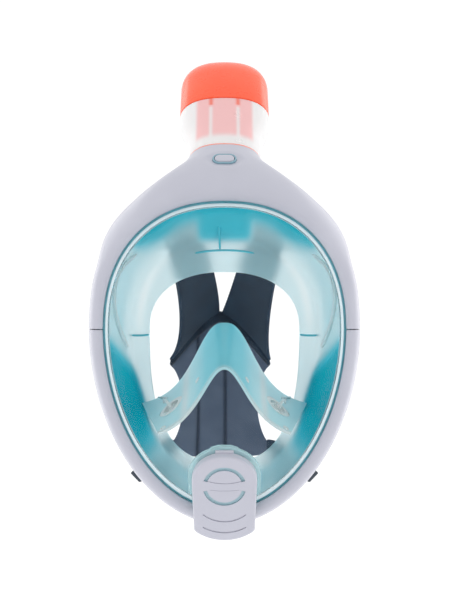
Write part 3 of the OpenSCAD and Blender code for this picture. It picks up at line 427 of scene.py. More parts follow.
def crease_arch(piece):
    crease(piece, lambda a, b: a[1] == b[1] and a[1] in CRISP, CRISP_CREASE)
    crease(piece, lambda a, b: a[0] == b[0] and a[0] in (0, ARCH_STEPS), SEAM_CREASE)


def seam_angle(reach, n):
    return math.degrees(math.asin((SEAM_HALF / reach) ** (n / 2)))


low_from = seam_angle(RIM_BOTTOM, SQUARE_BOTTOM)
lower_frame = frame_arch("lower_frame_shell", 180 + low_from, 360 - low_from)
crease_arch(lower_frame)
subdivide(lower_frame, 2)
smooth(lower_frame, 50)
report(lower_frame)

# %% [markdown]
# The upper half starts as the same arch, a little fuller at the foot of its shoulders so that they leave it
# without a bend. Its top then grows into the neck that carries the snorkel. Each of the neck's curves leaves
# the rim smoothly and arrives square on the socket's mouth.

# %% The neck's curves
NECK_FROM, NECK_TO = 5, 31
NECK_FRONT, NECK_BACK, NECK_RINGS = 2, 7, 8
SIDE_SWEEP, NECK_EASE_FROM, NECK_EASE_SPAN = 24, 25, 65
NECK_PULL, REAR_PULL = 26, 80
SHOULDER_OUT, SHOULDER_REACH, SHOULDER_PULL = 0.42, 1.5, 60
SHOULDER_FILL, SHOULDER_SPAN = 1.3, 4
SOCKET_HALF_W, SOCKET_HALF_D, SOCKET_WALL, SOCKET_DEPTH = 22.5, 15.5, 3.2, 12
up_from = seam_angle(RIM_TOP, SQUARE_TOP)


def ease(s):
    s = max(0, min(1, s))
    return s * s * (3 - 2 * s)


def swell(value, middle, width):
    return ease(1 - abs(value - middle) / width)


def neck_ease(t):
    return ease((min(t, 180 - t) - NECK_EASE_FROM) / NECK_EASE_SPAN)


def neck_start(t, out, lean):
    along = (1 if t < 90 else -1) * (1 - neck_ease(t))
    outward = rim_out(t) * mix(SHOULDER_OUT, out, neck_ease(t))
    return (outward + rim_along(t) * along + Vector((0, lean, 0))).normalized()


def mouth_angle(i, k):
    sweep = mix(SIDE_SWEEP, 180 - SIDE_SWEEP, (i - NECK_FROM) / (NECK_TO - NECK_FROM))
    back = (k - NECK_FRONT) / (NECK_BACK - NECK_FRONT)
    if k == NECK_FRONT:
        return sweep
    if k == NECK_BACK:
        return 360 - sweep
    if i == NECK_TO:
        return 180 + SIDE_SWEEP * mix(-1, 1, back)
    return 360 + SIDE_SWEEP * mix(1, -1, back)


def shoulder_fill(i):
    return SHOULDER_FILL * swell(min(i, ARCH_STEPS - i), NECK_FROM, SHOULDER_SPAN)


def neck_point(i, k, s):
    t = mix(up_from, 180 - up_from, i / ARCH_STEPS)
    start = rim_point(t, OUTER[k][0] + shoulder_fill(i), OUTER[k][1])
    end = oval_point(mouth_angle(i, k), SOCKET_HALF_W + SOCKET_WALL, SOCKET_HALF_D + SOCKET_WALL, 0)
    back = (k - NECK_FRONT) / (NECK_BACK - NECK_FRONT)
    reach = (end - start).length * mix(SHOULDER_REACH, 1, neck_ease(t))
    pull = reach * neck_start(t, mix(1, -0.45, back), mix(0.35, 0.9, back))
    end_pull = mix(mix(SHOULDER_PULL, NECK_PULL, neck_ease(t)), REAR_PULL, back)
    return hermite(start, pull, end, end_pull * TUBE_AXIS, s)


print("the neck has", NECK_RINGS, "rings")

# %% [markdown]
# The neck could be a second shell that is joined on, but a seam would show. So the faces on top of the arch
# are deleted, and the edge of the hole is extruded ring by ring along the curves. The last rings turn
# inwards and make the socket.

# %% Open the arch where the neck starts
upper_frame = frame_arch("upper_frame_shell", up_from, 180 - up_from, shoulder_fill)
crease_arch(upper_frame)
open_up(upper_frame, "DESELECT")
bpy.ops.mesh.select_mode(type="FACE")
mesh = bmesh.from_edit_mesh(upper_frame.data)
section, corner_of = mesh.verts.layers.int["section"], mesh.verts.layers.int["place"]


def under_neck(corner):
    return NECK_FROM <= corner[section] <= NECK_TO and NECK_FRONT <= corner[corner_of] <= NECK_BACK


for face in mesh.faces:
    face.select_set(len(face.verts) == 4 and all(under_neck(corner) for corner in face.verts))
bmesh.update_edit_mesh(upper_frame.data)
bpy.ops.mesh.delete(type="FACE")
bpy.ops.mesh.select_mode(type="EDGE")
bpy.ops.mesh.select_non_manifold(
    extend=False, use_wire=False, use_boundary=True,
    use_multi_face=False, use_non_contiguous=False, use_verts=False,
)
mesh = bmesh.from_edit_mesh(upper_frame.data)
print("open edges round the neck's foot:", sum(edge.select for edge in mesh.edges))

# %% [markdown]
# Each extrusion leaves the new ring selected, so its corners are carried to their places at once. The
# creases keep the mouth's edge and the socket's floor from being rounded away.

# %% Grow the neck out of the arch
def grow(place):
    """Extrudes the open edge once and carries each new corner to its place."""
    bpy.ops.mesh.extrude_edges_move()
    mesh = bmesh.from_edit_mesh(upper_frame.data)
    section, corner_of = mesh.verts.layers.int["section"], mesh.verts.layers.int["place"]
    for corner in mesh.verts:
        if corner.select:
            corner.co = MM * place(corner[section], corner[corner_of])
    bmesh.update_edit_mesh(upper_frame.data)


for ring in range(1, NECK_RINGS + 1):
    grow(lambda i, k: neck_point(i, k, ring / NECK_RINGS))
bpy.ops.transform.edge_crease(value=0.55)
grow(lambda i, k: oval_point(mouth_angle(i, k), SOCKET_HALF_W, SOCKET_HALF_D, 0))
bpy.ops.transform.edge_crease(value=0.8)
grow(lambda i, k: oval_point(mouth_angle(i, k), SOCKET_HALF_W, SOCKET_HALF_D, -SOCKET_DEPTH))
bpy.ops.transform.edge_crease(value=1)
bpy.ops.mesh.edge_face_add()
bpy.ops.mesh.select_mode(type="VERT")
bpy.ops.mesh.select_all(action="SELECT")
bpy.ops.mesh.normals_make_consistent(inside=False)
close_up()
subdivide(upper_frame, 2)
report(upper_frame)

# %% [markdown]
# The button sits in a shallow thumb dish. The dish could be cut with a ball, but its edge would be sharp, so
# it is pressed into the neck by moving the corners near the button inwards, most in the middle. The pocket
# for the button's ring and the recesses for the clasps are cut afterwards.

# %% Press the thumb dish and cut the pockets
DISH_HALF_L, DISH_HALF_H, DISH_DEEP, DISH_NEAR = 12.6, 8, 0.9, 6
RECESS_LOW = Vector((-CLASP_HALF_W, 0, -CLASP_HALF_T)) - CLASP_CLEAR * Vector((1, 1, 1))
RECESS_HIGH = (CLASP_HALF_W + CLASP_CLEAR, 45, CLASP_HALF_T + CLASP_CLEAR)
to_button = AT_BUTTON.inverted()
for corner in upper_frame.data.vertices:
    spot = to_button @ corner.co / MM
    if abs(spot.z) < DISH_NEAR:
        far = math.hypot(spot.x / DISH_HALF_L, spot.y / DISH_HALF_H)
        corner.co -= MM * DISH_DEEP * ease((1.15 - far) / 0.35) * TUBE_FRONT
cut(upper_frame, oval_bar("bezel_pocket", 8.25, 5.55, -10, 20, AT_BUTTON))
for side in (Matrix.Identity(4), MIRROR):
    recess = block("clasp_recess", RECESS_LOW, RECESS_HIGH, clasp_frame(UPPER_CLASP_T, UPPER_CLASP_U))
    recess.data.transform(side)
    weld(recess)
    cut(upper_frame, recess)
smooth(upper_frame, 50)
report(upper_frame)

# %% [markdown]
# ## Lens
# One clear domed moulding, 2.4 mm thick, with a flat flange that the frame holds. Half a ball would do for a
# round dome. This one follows the rim, so rings of corners are laid from the middle of the dome out to the
# flange and back along the inside, and wall thickness and refraction are real. A low bead runs round the
# dome's foot. The chin hole is cut with a round bar.

# %% The lens
LENS_WALL, LENS_BULGE, LENS_FLANGE, DOME_EDGE = 2.4, 30, 4, -1.5
DOME_STEPS = 28
BEAD = {3: 0.1, 4: 0.45, 5: 0.45, 6: 0.1}
CHIN_HOLE_R = 15.15


def dome_ring(angle, inset, bead=0):
    share = max(0, cosd(angle)) ** (2 / 3)

    def place(t):
        edge = DOME_EDGE - inset
        x, z = egg(t, RIM_HALF_W + edge, RIM_TOP + edge, RIM_BOTTOM + edge)
        y = rim_y(x * share) - (LENS_BULGE - inset) * sind(angle) - bead
        return Vector((x * share, y, z * share))

    return place


def rim_ring(u, v):
    return lambda t: rim_point(t, u, v)


front = [dome_ring(90 - 90 * k / DOME_STEPS, 0, BEAD.get(DOME_STEPS - k, 0)) for k in range(DOME_STEPS + 1)]
back = [dome_ring(90 * k / DOME_STEPS, LENS_WALL) for k in range(1, DOME_STEPS + 1)]
flange = [
    rim_ring(LENS_FLANGE, 0), rim_ring(LENS_FLANGE, LENS_WALL), rim_ring(DOME_EDGE - LENS_WALL, LENS_WALL)
]
lens = lay_rings("lens_shell", 120, front + flange + back)
cut(lens, oval_bar("chin_hole", CHIN_HOLE_R, CHIN_HOLE_R, -40, 40, AT_CHIN, 64))
smooth(lens, 40)
report(lens)

# %% [markdown]
# ## Face skirt
# The skirt is soft silicone: a flange under the lens, a folded side wall and a wide lip that lies on the
# face. A sculpt would do, but the lip has to fit the face's oval, so it is one closed ring of sixteen rounds,
# smoothed by Subdivision Surface so that the folds stay soft.

# %% The skirt's rounds
SEAL_HALF_W, SEAL_TOP, SEAL_BOTTOM = 70, 66, 109
OPENING_HALF_W, OPENING_TOP, OPENING_BOTTOM, OPENING_SQUARE = 52, 38.5, 92, 2.7
SEAL_DEPTH, SEAL_WRAP = 11, 18
LIP_T, FLANGE_U, FLANGE_FRONT, FLANGE_REAR = 2.6, 3.6, 2.55, 5.15


def seal_y(x):
    return -SEAL_DEPTH + SEAL_WRAP * (x / SEAL_HALF_W) ** 2


def seal_point(t, share, forward):
    seal = Vector(egg(t, SEAL_HALF_W, SEAL_TOP, SEAL_BOTTOM))
    opening = Vector(egg(t, OPENING_HALF_W, OPENING_TOP, OPENING_BOTTOM, OPENING_SQUARE))
    x, z = mix(seal, opening, share)
    return Vector((x, seal_y(x) - forward, z))


def seal_ring(share, forward):
    return lambda t: seal_point(t, share, forward)


def wall_ring(share, u, v, forward):
    return lambda t: mix(rim_point(t, u, v), seal_point(t, 0.06, forward), share)


skirt_rounds = [
    rim_ring(FLANGE_U, FLANGE_REAR), rim_ring(1.2, FLANGE_REAR),
    wall_ring(0.35, 1.2, FLANGE_REAR + 4, 2), wall_ring(0.7, 1.2, FLANGE_REAR, 2),
    seal_ring(0, 1.6), seal_ring(0.25, 0), seal_ring(0.65, 0), seal_ring(1, 0),
    seal_ring(1, 1.6), seal_ring(0.65, LIP_T), seal_ring(0.34, LIP_T), seal_ring(0.16, 4.4),
    wall_ring(0.7, -1, FLANGE_FRONT, 6), wall_ring(0.35, -1, FLANGE_FRONT + 4, 6),
    rim_ring(-1, FLANGE_FRONT), rim_ring(FLANGE_U, FLANGE_FRONT),
]
face_skirt = lay_rings("face_skirt_shell", 72, skirt_rounds + skirt_rounds[:1])
subdivide(face_skirt, 2)
report(face_skirt)

# %% [markdown]
# Thin ribs stiffen the lip, and a fold runs down each side wall. Each could be a curve with a bevel, but a
# fold has to follow the wall under it, so both are slim bars laid along paths on the skirt's front face.

# %% Ribs and folds on the skirt
RIB_R, FOLD_R, RIB_FORWARD = 0.7, 1.9, 2.7
RIB_SHARES = (0.1, 0.98)


def rib(path, r):
    """A thin bar with round ends along a path of points."""
    def place(u, v):
        middle = path(v)
        ahead = (path(min(1, v + 0.02)) - path(max(0, v - 0.02))).normalized()
        out = ahead.cross(Vector((0, 1, 0))).normalized()
        thick = r * max(0, 1 - abs(2 * v - 1) ** 12) ** 0.5
        return middle + thick * (cosd(360 * u) * out + sind(360 * u) * out.cross(ahead))

    piece = lay("skirt_rib", 10, 24, place)
    weld(piece)
    return piece


def fold_path(side):
    """A fold's crest on the side wall, found as the skirt's nearest points to a curve beside it."""
    def path(s):
        t = mix(40, -9, s)
        share = 0.13 + (0.24 * ((t - 22) / 16) ** 2 if t > 22 else 0.87 * ((22 - t) / 31) ** 1.6)
        _, spot, _, _ = face_skirt.closest_point_on_mesh(MM * wall_ring(share, -1, 4.5, 6)(t))
        return Vector((side * spot.x, spot.y, spot.z)) / MM

    return path


brow_top, brow_foot = wall_ring(0.72, -1, FLANGE_FRONT, 6)(92), seal_point(92, 0.42, RIB_FORWARD)
ribs = [
    rib(lambda s: seal_point(mix(73, 107, s), 0.44, RIB_FORWARD), RIB_R),
    rib(lambda s: mix(brow_top, brow_foot, s), RIB_R),
    rib(lambda s: seal_point(mix(182.6, 181, s), mix(*RIB_SHARES, s), RIB_FORWARD), RIB_R),
    rib(lambda s: seal_point(mix(357.4, 359, s), mix(*RIB_SHARES, s), RIB_FORWARD), RIB_R),
    rib(fold_path(-1), FOLD_R),
    rib(fold_path(1), FOLD_R),
]
skirt_corners = len(face_skirt.data.vertices)
join(face_skirt, ribs)
smooth(face_skirt, 60)
report(face_skirt)

# %% [markdown]
# ## Nose pocket
# A bell-shaped wall closes off the nose and mouth from the view. Two bell curves, one on the skirt's lip and
# one behind the lens, are its edges, so one sheet is laid between them and Solidify gives it its wall. Its
# inhale valves stand in two round holes.

# %% The pocket's bell
POCKET_WALL, POCKET_CLEAR, LENS_CLEAR = 1.8, 0.15, 0.6
REAR_HALF_W, REAR_BELL = 57.5, (4, -58, 24.8, 2.7)
FRONT_HALF_W, FRONT_BELL = 43, (-23, -75, 21.2, 2.2)
VALVE_P, VALVE_Q, VALVE_R = 0.7, 0.5, 9.85


def bell(x, top, foot, w, power):
    return foot + (top - foot) / (1 + (abs(x) / w) ** power)


def dome_y(x, z, inset):
    n = SQUARE_TOP if z >= 0 else SQUARE_BOTTOM
    reach = (RIM_TOP if z >= 0 else RIM_BOTTOM) + DOME_EDGE - inset
    share = ((abs(x) / (RIM_HALF_W + DOME_EDGE - inset)) ** n + (abs(z) / reach) ** n) ** (1 / n)
    return rim_y(x) - (LENS_BULGE - inset) * math.sqrt(max(0, 1 - min(1, share) ** 3))


def pocket_point(p, q):
    xr, xf = REAR_HALF_W * p, FRONT_HALF_W * p
    zf = bell(xf, *FRONT_BELL)
    rear = Vector((xr, seal_y(xr) - LIP_T - POCKET_CLEAR - POCKET_WALL, bell(xr, *REAR_BELL)))
    return mix(rear, Vector((xf, dome_y(xf, zf, LENS_WALL) + LENS_CLEAR, zf)), q)


def pocket_normal(p, q):
    across = pocket_point(p + 0.02, q) - pocket_point(p - 0.02, q)
    forward = pocket_point(p, q + 0.02) - pocket_point(p, q - 0.02)
    return forward.cross(across).normalized()


def pocket_frame(p, q, lift):
    z = pocket_normal(p, q)
    x = Vector((0, 1, 0)).cross(z).normalized()
    place = Matrix((x, z.cross(x), z)).transposed().to_4x4()
    return Matrix.Translation(MM * (pocket_point(p, q) + lift * z)) @ place


nose_pocket = lay("nose_pocket_shell", 72, 14, lambda u, v: pocket_point(2 * u - 1, v))
apply_modifier(nose_pocket, "SOLIDIFY", thickness=POCKET_WALL * MM, offset=1)
weld(nose_pocket)
for side in (-1, 1):
    at_valve = pocket_frame(side * VALVE_P, VALVE_Q, -0.5 * POCKET_WALL)
    cut(nose_pocket, oval_bar("valve_hole", VALVE_R, VALVE_R, -8, 8, at_valve))
smooth(nose_pocket, 40)
pocket_corners = len(nose_pocket.data.vertices)
report(nose_pocket)

# %% [markdown]
# The mould leaves four small round bosses on the bell and two short tabs on each flank. They are placed by
# the bell's own measures, so they follow it if it changes.

# %% Small bosses and tabs on the pocket
def boss(p, q):
    put_down()
    bpy.ops.mesh.primitive_torus_add(
        major_radius=1.7 * MM, minor_radius=0.5 * MM, major_segments=28, minor_segments=10
    )
    return carry(named("pocket_boss"), pocket_frame(p, q, 0.1))


def tab(start, end, r):
    return rib(lambda s: pocket_point(*mix(Vector(start), Vector(end), s)) + Vector((0, -0.4, 0.4)), r)


details = [boss(-0.365, 0.63), boss(0.315, 0.78), boss(-0.9, 0.93), boss(0.9, 0.93)]
for side in (-1, 1):
    details.append(tab((side * 0.8, 0.01), (side * 0.71, 0.19), 0.9))
    details.append(tab((side * 0.75, 0.1), (side * 0.765, 0.27), 0.7))
join(nose_pocket, details)
smooth(nose_pocket, 40)
report(nose_pocket)

# %% [markdown]
# ## Snorkel tube and cap
# The tube rises from the socket and widens under the cap. A tapered cylinder would do for a round one; this
# one is a loft through ovals, so it is laid ring by ring, up its outside and then back down its bore.

# %% The snorkel tube
TUBE_HALF_W, TUBE_HALF_D, TUBE_WALL = 32, 19.5, 2
SHOULDER_W, SHOULDER_D, TUBE_FROM, CAP_FROM, SNORKEL_L = 24.7, 17.7, 1.5, 59, 120
SPIGOT_HALF_W, SPIGOT_HALF_D, SPIGOT_L = 22.15, 15.15, 11
SLEEVE_FROM, SLEEVE_TO, REBATE, TUBE_EDGE = CAP_FROM - 0.3, CAP_FROM + 8, 2.4, 0.7
TUBE_STEPS = 40


def tube_half(w):
    s = (w - TUBE_FROM) / (0.86 * CAP_FROM - TUBE_FROM)
    stem = mix(SHOULDER_W, SHOULDER_W + 1, min(1, s / 0.55))
    flare = (TUBE_HALF_W - SHOULDER_W - 1) * ease((s - 0.4) / 0.6)
    return stem + flare, mix(SHOULDER_D, TUBE_HALF_D, ease((w - TUBE_FROM) / (CAP_FROM - TUBE_FROM)))


def spigot(inset):
    return [oval(SPIGOT_HALF_W - inset, SPIGOT_HALF_D - inset, w) for w in (-SPIGOT_L, TUBE_FROM)]


def sleeve(inset):
    return [oval(TUBE_HALF_W - inset, TUBE_HALF_D - inset, w) for w in (SLEEVE_FROM, SLEEVE_TO)]


outside, bore = spigot(0), spigot(TUBE_WALL)
for k in range(TUBE_STEPS + 1):
    w = mix(TUBE_FROM, CAP_FROM - 0.4, k / TUBE_STEPS)
    half_w, half_d = tube_half(w)
    edge = TUBE_EDGE if k in (0, TUBE_STEPS) else 0
    outside.append(oval(half_w - edge, half_d - edge, w))
    inset = TUBE_WALL + (REBATE if k == TUBE_STEPS else 0)
    bore.append(oval(half_w - inset, half_d - inset, w + (TUBE_WALL if k == 0 else 0)))
outside += sleeve(REBATE)
bore += sleeve(REBATE + TUBE_WALL)
snorkel_tube = lay_rings("snorkel_tube_shell", 240, outside + bore[::-1] + outside[:1])
smooth(snorkel_tube, 35)
report(snorkel_tube)

# %% [markdown]
# The cap is hollow and slips over the tube's sleeve. It is laid the same way, from the top of its inside
# down to a rounded edge and up over the dome. An oval bar cuts the air inlet at its back.

# %% The snorkel cap
CAP_DOME, CAP_STEPS, CAP_WALL = 26, 20, 2.2
CAP_EDGE = ((CAP_WALL, 0), (0.6, 0), (0.15, 0.25), (0, 0.9))
INLET_HALF_L, INLET_R, INLET_AT = 14, 3, (0, 9.75, 76)


def cap_ring(k, inset):
    a = 90 * k / CAP_STEPS
    return oval(
        (TUBE_HALF_W - inset) * max(0, cosd(a)) ** 0.45,
        (TUBE_HALF_D - inset) * max(0, cosd(a)) ** 0.5,
        SNORKEL_L - CAP_DOME + (CAP_DOME - inset) * sind(a),
    )


edge_ovals = [oval(TUBE_HALF_W - inset, TUBE_HALF_D - inset, CAP_FROM + rise) for inset, rise in CAP_EDGE]
inside = [cap_ring(k, CAP_WALL) for k in range(CAP_STEPS, -1, -1)]
dome = [cap_ring(k, 0) for k in range(CAP_STEPS + 1)]
snorkel_cap = lay_rings("snorkel_cap_shell", 96, inside + edge_ovals + dome)
at_inlet = AT_TUBE @ frame_at(INLET_AT, -90)
cut(snorkel_cap, oval_bar("air_inlet", INLET_HALF_L, INLET_R, 0, TUBE_HALF_D, at_inlet))
smooth(snorkel_cap, 40)
report(snorkel_cap)

# %% [markdown]
# ## Release button
# An oval button in a blue-grey ring. Both start as a round bar that is stretched into an oval; the ring's
# middle is cut out, and Bevel rounds the edges that a thumb feels.

# %% The button and its ring
BUTTON_FOOT, BUTTON_TOP, BUTTON_ROUND = -4.4, 0.6, 64


def button_bar(name, half_l, half_h, low, high):
    return oval_bar(name, half_l, half_h, low, high, AT_BUTTON, BUTTON_ROUND)


release_button = button_bar("release_button_key", 6.65, 3.95, BUTTON_FOOT, BUTTON_TOP)
bevel(release_button, 0.9, 4, 50)
cut(release_button, button_bar("button_foot", 7.2, 4.5, BUTTON_FOOT, -3.15), "UNION")
smooth(release_button, 50)
button_bezel = button_bar("button_ring", 8.1, 5.4, -2.8, 0.2)
cut(button_bezel, button_bar("ring_middle", 7, 4.3, -5, 5))
bevel(button_bezel, 0.3, 3, 50)
smooth(button_bezel, 40)
report(release_button)
report(button_bezel)

# %% [markdown]
# ## Chin valve cover
# A hollow arched cover shields the exhale valve. It could be carved from a block, but its outline is what
# shows, so a filled circle is pulled to that outline and extruded, Bevel rounds its edges, and the inside is
# cut out with the same outline drawn smaller.

# %% The cover's outline
COVER_HALF_W, COVER_CROWN, ARCH_RISE, COVER_H, ARC_STEPS = 20.75, 21.2, 17.5, 61, 24
COVER_FROM, COVER_D, COVER_WALL = 2.55, 7.5, 2.2
FOOT_INSET, FOOT_LIFT, FOOT_POWER, FOOT_CORNER = 1.2, 7, 2.2, 0.8
cover_top = COVER_FROM + COVER_D


def cover_outline(grow):
    points = []
    for i in range(ARC_STEPS + 1):
        a = 180 * i / ARC_STEPS
        rise = COVER_CROWN - ARCH_RISE + (ARCH_RISE + grow) * sind(a)
        points.append(((COVER_HALF_W + grow) * cosd(a), rise))
    for i in range(ARC_STEPS + 1):
        s = 2 * i / ARC_STEPS - 1
        lift = FOOT_LIFT * abs(s) ** FOOT_POWER + (FOOT_CORNER if abs(s) > 0.99 else 0)
        points.append((s * (COVER_HALF_W - FOOT_INSET + grow), COVER_CROWN - COVER_H - grow + lift))
    return points


def plate(name, outline, low, high):
    """A filled circle pulled to an outline and extruded, in the frame that it is later carried to."""
    put_down()
    bpy.ops.mesh.primitive_circle_add(vertices=len(outline), radius=1, fill_type="NGON")
    piece = named(name)
    for corner, (x, y) in zip(piece.data.vertices, outline):
        corner.co = MM * Vector((x, y, low))
    open_up(piece)
    bpy.ops.mesh.extrude_region_move(TRANSFORM_OT_translate={"value": (0, 0, (high - low) * MM)})
    bpy.ops.mesh.select_all(action="SELECT")
    bpy.ops.mesh.normals_make_consistent(inside=False)
    close_up()
    return piece


chin_cover = plate("chin_cover_shell", cover_outline(0), COVER_FROM, cover_top)
bevel(chin_cover, 1.5, 4, 60)
cut(chin_cover, plate("cover_inside", cover_outline(-COVER_WALL), COVER_FROM - 3, cover_top - COVER_WALL))
report(chin_cover)

# %% [markdown]
# Two arc slots let the air out. Here they are grooves whose floor is painted with the tint of the silicone
# behind them, which looks the same from every side. A crossbar's edges, two curved grooves at the foot and
# a clip tab at the crown finish the cover. One kind of tool cuts all the arcs, a band between two radii; a
# row below gives its radius, width, first and last angle, height of its middle, and depth.

# %% Vents, grooves and clip tab of the cover
VENT_R, VENT_W, VENT_DEEP = 12.6, 2.4, 1.3
CLIP_HALF_W, CLIP_BELOW, CLIP_ABOVE, CLIP_T = 5.8, 4, 1.4, 2.4
ARCS = [
    ("vent", VENT_R, VENT_W, 17, 163, 0, VENT_DEEP),
    ("vent", VENT_R, VENT_W, 194, 346, 0, VENT_DEEP),
    ("crossbar_line", 33, 0.5, 251, 289, 35.2, 0.4),
    ("crossbar_line", 60, 0.4, 261, 279, 57, 0.2),
    ("groove", 20.4, 1, 228, 312, -5, 0.7),
    ("groove", 26, 1, 238, 302, -7.5, 0.7),
]


def arc_band(r, w, start, end, middle):
    angles = [mix(start, end, i / ARC_STEPS) for i in range(ARC_STEPS + 1)]
    outer = [((r + w / 2) * cosd(a), (r + w / 2) * sind(a) + middle) for a in angles]
    inner = [((r - w / 2) * cosd(a), (r - w / 2) * sind(a) + middle) for a in reversed(angles)]
    return outer + inner


for name, r, w, start, end, middle, deep in ARCS:
    cut(chin_cover, plate(name, arc_band(r, w, start, end, middle), cover_top - deep, 30))
clip = block(
    "clip_tab",
    (-CLIP_HALF_W, COVER_CROWN - CLIP_BELOW, COVER_FROM),
    (CLIP_HALF_W, COVER_CROWN + CLIP_ABOVE, COVER_FROM + CLIP_T),
)
bevel(clip, 0.5, 3, 30)
cut(chin_cover, clip, "UNION")
vent_tint = chin_cover.data.attributes.new("depth", "FLOAT", "POINT")
for corner in chin_cover.data.vertices:
    x, y, z = corner.co / MM
    on_floor = abs(z - cover_top + VENT_DEEP) < 0.05
    vent_tint.data[corner.index].value = on_floor and abs(math.hypot(x, y) - VENT_R) < 1.6
carry(chin_cover, AT_CHIN)
smooth(chin_cover, 35)
report(chin_cover)

# %% [markdown]
# ## Clasps
# Each strap runs into a dark plastic clasp behind the frame. A block is bevelled and a slot for the strap
# is cut from behind; the lower ones carry a lug. One of each kind is modelled and copied to the other side.

# %% The four clasps
SLOT_HALF_W, SLOT_FROM, SLOT_HALF_T, LUG_H = 13.8, 2.4, 2.3, 8.5


def clasp(name, place, lug):
    piece = block(name, (-CLASP_HALF_W, 0, -CLASP_HALF_T), (CLASP_HALF_W, CLASP_L, CLASP_HALF_T))
    if lug:
        cut(piece, block("lug", (-15, 1.5, 0), (-6, 7.5, lug)), "UNION")
    bevel(piece, 1, 3, 50)
    cut(piece, block("strap_slot", (-SLOT_HALF_W, SLOT_FROM, -SLOT_HALF_T), (SLOT_HALF_W, 20, SLOT_HALF_T)))
    carry(piece, place)
    smooth(piece, 40)
    return piece


def other_side(piece, name):
    pick_up(piece)
    bpy.ops.object.duplicate()
    copy = named(name)
    copy.data.transform(MIRROR)
    weld(copy)
    smooth(copy, 40)
    return copy


clasps = {
    "upper_clasp_right": clasp("upper_clasp_right_body", clasp_frame(UPPER_CLASP_T, UPPER_CLASP_U), 0),
    "lower_clasp_right": clasp("lower_clasp_right_body", clasp_frame(LOWER_CLASP_T, LOWER_CLASP_U), LUG_H),
}
for level in ("upper", "lower"):
    left = level + "_clasp_left"
    clasps[left] = other_side(clasps[level + "_clasp_right"], left + "_body")
for piece in clasps.values():
    report(piece)

# %% [markdown]
# ## Straps
# The harness is elastic webbing, so each strap is a sheet laid along a smooth curve from its clasp to the
# back pad, with Solidify for its thickness. A remesh or a simulation would lose a flat band like this one.
# The grid's UV map runs along the strap, and the weave follows it.

# %% The four straps
PAD_SHIFT, PAD_HALF_W, PAD_T, PAD_DROP = -3.5, 39.5, 5, 106
PAD_BACK, PAD_WRAP, HEM_TOP, HEM_FALL, HEM_POWER = 126, 14, 6.5, 37, 1.35
STRAP_W, STRAP_T, STRAP_SKIN, SEAM_CLEAR, HEM_R, HEM_D = 26, 3, 0.2, 0.35, 4.4, 3.2
STRAP_FOOT, TUCK, LOWER_END_W = 3.2, 2.2, 14
UPPER_PULL, LOWER_PULL, STRAP_LEAN = 150, 120, 5.7


def pad_y(x):
    return PAD_BACK - PAD_WRAP * (x / PAD_HALF_W) ** 2


def hem_z(x):
    return HEM_TOP - HEM_FALL * (abs(x) / PAD_HALF_W) ** HEM_POWER


def strap(name, t, u, turn, end, pull, end_pulls, mirrored):
    x_axis, y_axis, _ = clasp_axes(t)
    foot = rim_point(t, u, CLASP_BACK) + STRAP_FOOT * y_axis

    def place(across, along):
        start = foot + turn * STRAP_W * (across - 0.5) * x_axis
        end_pull = mix(Vector(end_pulls[0]), Vector(end_pulls[1]), across)
        point = hermite(start, pull * y_axis, end(across), end_pull, along)
        return Vector((-point.x if mirrored else point.x, point.y, point.z))

    piece = lay(name, 12, 56, place)
    apply_modifier(piece, "SOLIDIFY", thickness=(STRAP_T - STRAP_SKIN) * MM, offset=0)
    weld(piece)
    bevel(piece, 0.8, 3, 60)
    smooth(piece, 50)
    return piece


def upper_end(shift):
    def end(across):
        x = mix(0.8, PAD_HALF_W - SEAM_CLEAR, across)
        return Vector((shift + x, pad_y(x) + PAD_T / 2, hem_z(x) + HEM_R - TUCK))

    return end


def lower_end(shift):
    def end(across):
        x = shift + PAD_HALF_W - TUCK
        return Vector((x, pad_y(PAD_HALF_W) + PAD_T / 2, -PAD_DROP + 2.5 + LOWER_END_W * across))

    return end


straps = {}
for side, mirrored, shift in (("right", False, PAD_SHIFT), ("left", True, -PAD_SHIFT)):
    lean = STRAP_LEAN * shift
    straps["upper_strap_" + side] = strap(
        "upper_strap_" + side + "_web", UPPER_CLASP_T, UPPER_CLASP_U, 1,
        upper_end(shift), UPPER_PULL, ((lean - 15, 40, -75), (lean + 45, 40, -75)), mirrored,
    )
    straps["lower_strap_" + side] = strap(
        "lower_strap_" + side + "_web", LOWER_CLASP_T, LOWER_CLASP_U, -1,
        lower_end(shift), LOWER_PULL, ((-60, 70, 0), (-60, 70, 0)), mirrored,
    )
for piece in straps.values():
    report(piece)

# %% [markdown]
# ## Back pad and hem
# The pad at the back of the head is thin padded fabric, sewn down along two upright channels, under a
# thick rolled hem. It is made as it would be sewn: two flat layers that meet along the edge lie on a table,
# ten times as large as life so that the solver's steps suit it, the seams are pinned, and Cloth with air
# pressure inside swells the layers between them.

# %% Sew the pad flat and let it swell
PAD_COLUMNS, PAD_ROWS, PAD_H, PAD_FLAT_T = 52, 64, 110, 2.6
PAD_CHANNELS, CHANNEL_W = (-18, 4), 2.6
LARGER = 10
TABLE = LARGER * MM
SWELL_CAP, SWELL_FRAMES, PRESSURE = 1.2, 20, 4


def pad_seam(x):
    return max(swell(x, middle, CHANNEL_W) for middle in PAD_CHANNELS)


def flat_pad(u, v):
    x, row = PAD_HALF_W * (2 * u - 1), 2 * min(v, 1 - v)
    edge = max(0, 1 - abs(x / PAD_HALF_W) ** 8) ** 0.5 * max(0, 1 - abs(2 * row - 1) ** 12) ** 0.5
    half = PAD_FLAT_T / 2 * edge * (1 - 0.6 * pad_seam(x))
    return LARGER * x, LARGER * half * (-1 if v < 0.5 else 1), -LARGER * PAD_H * row


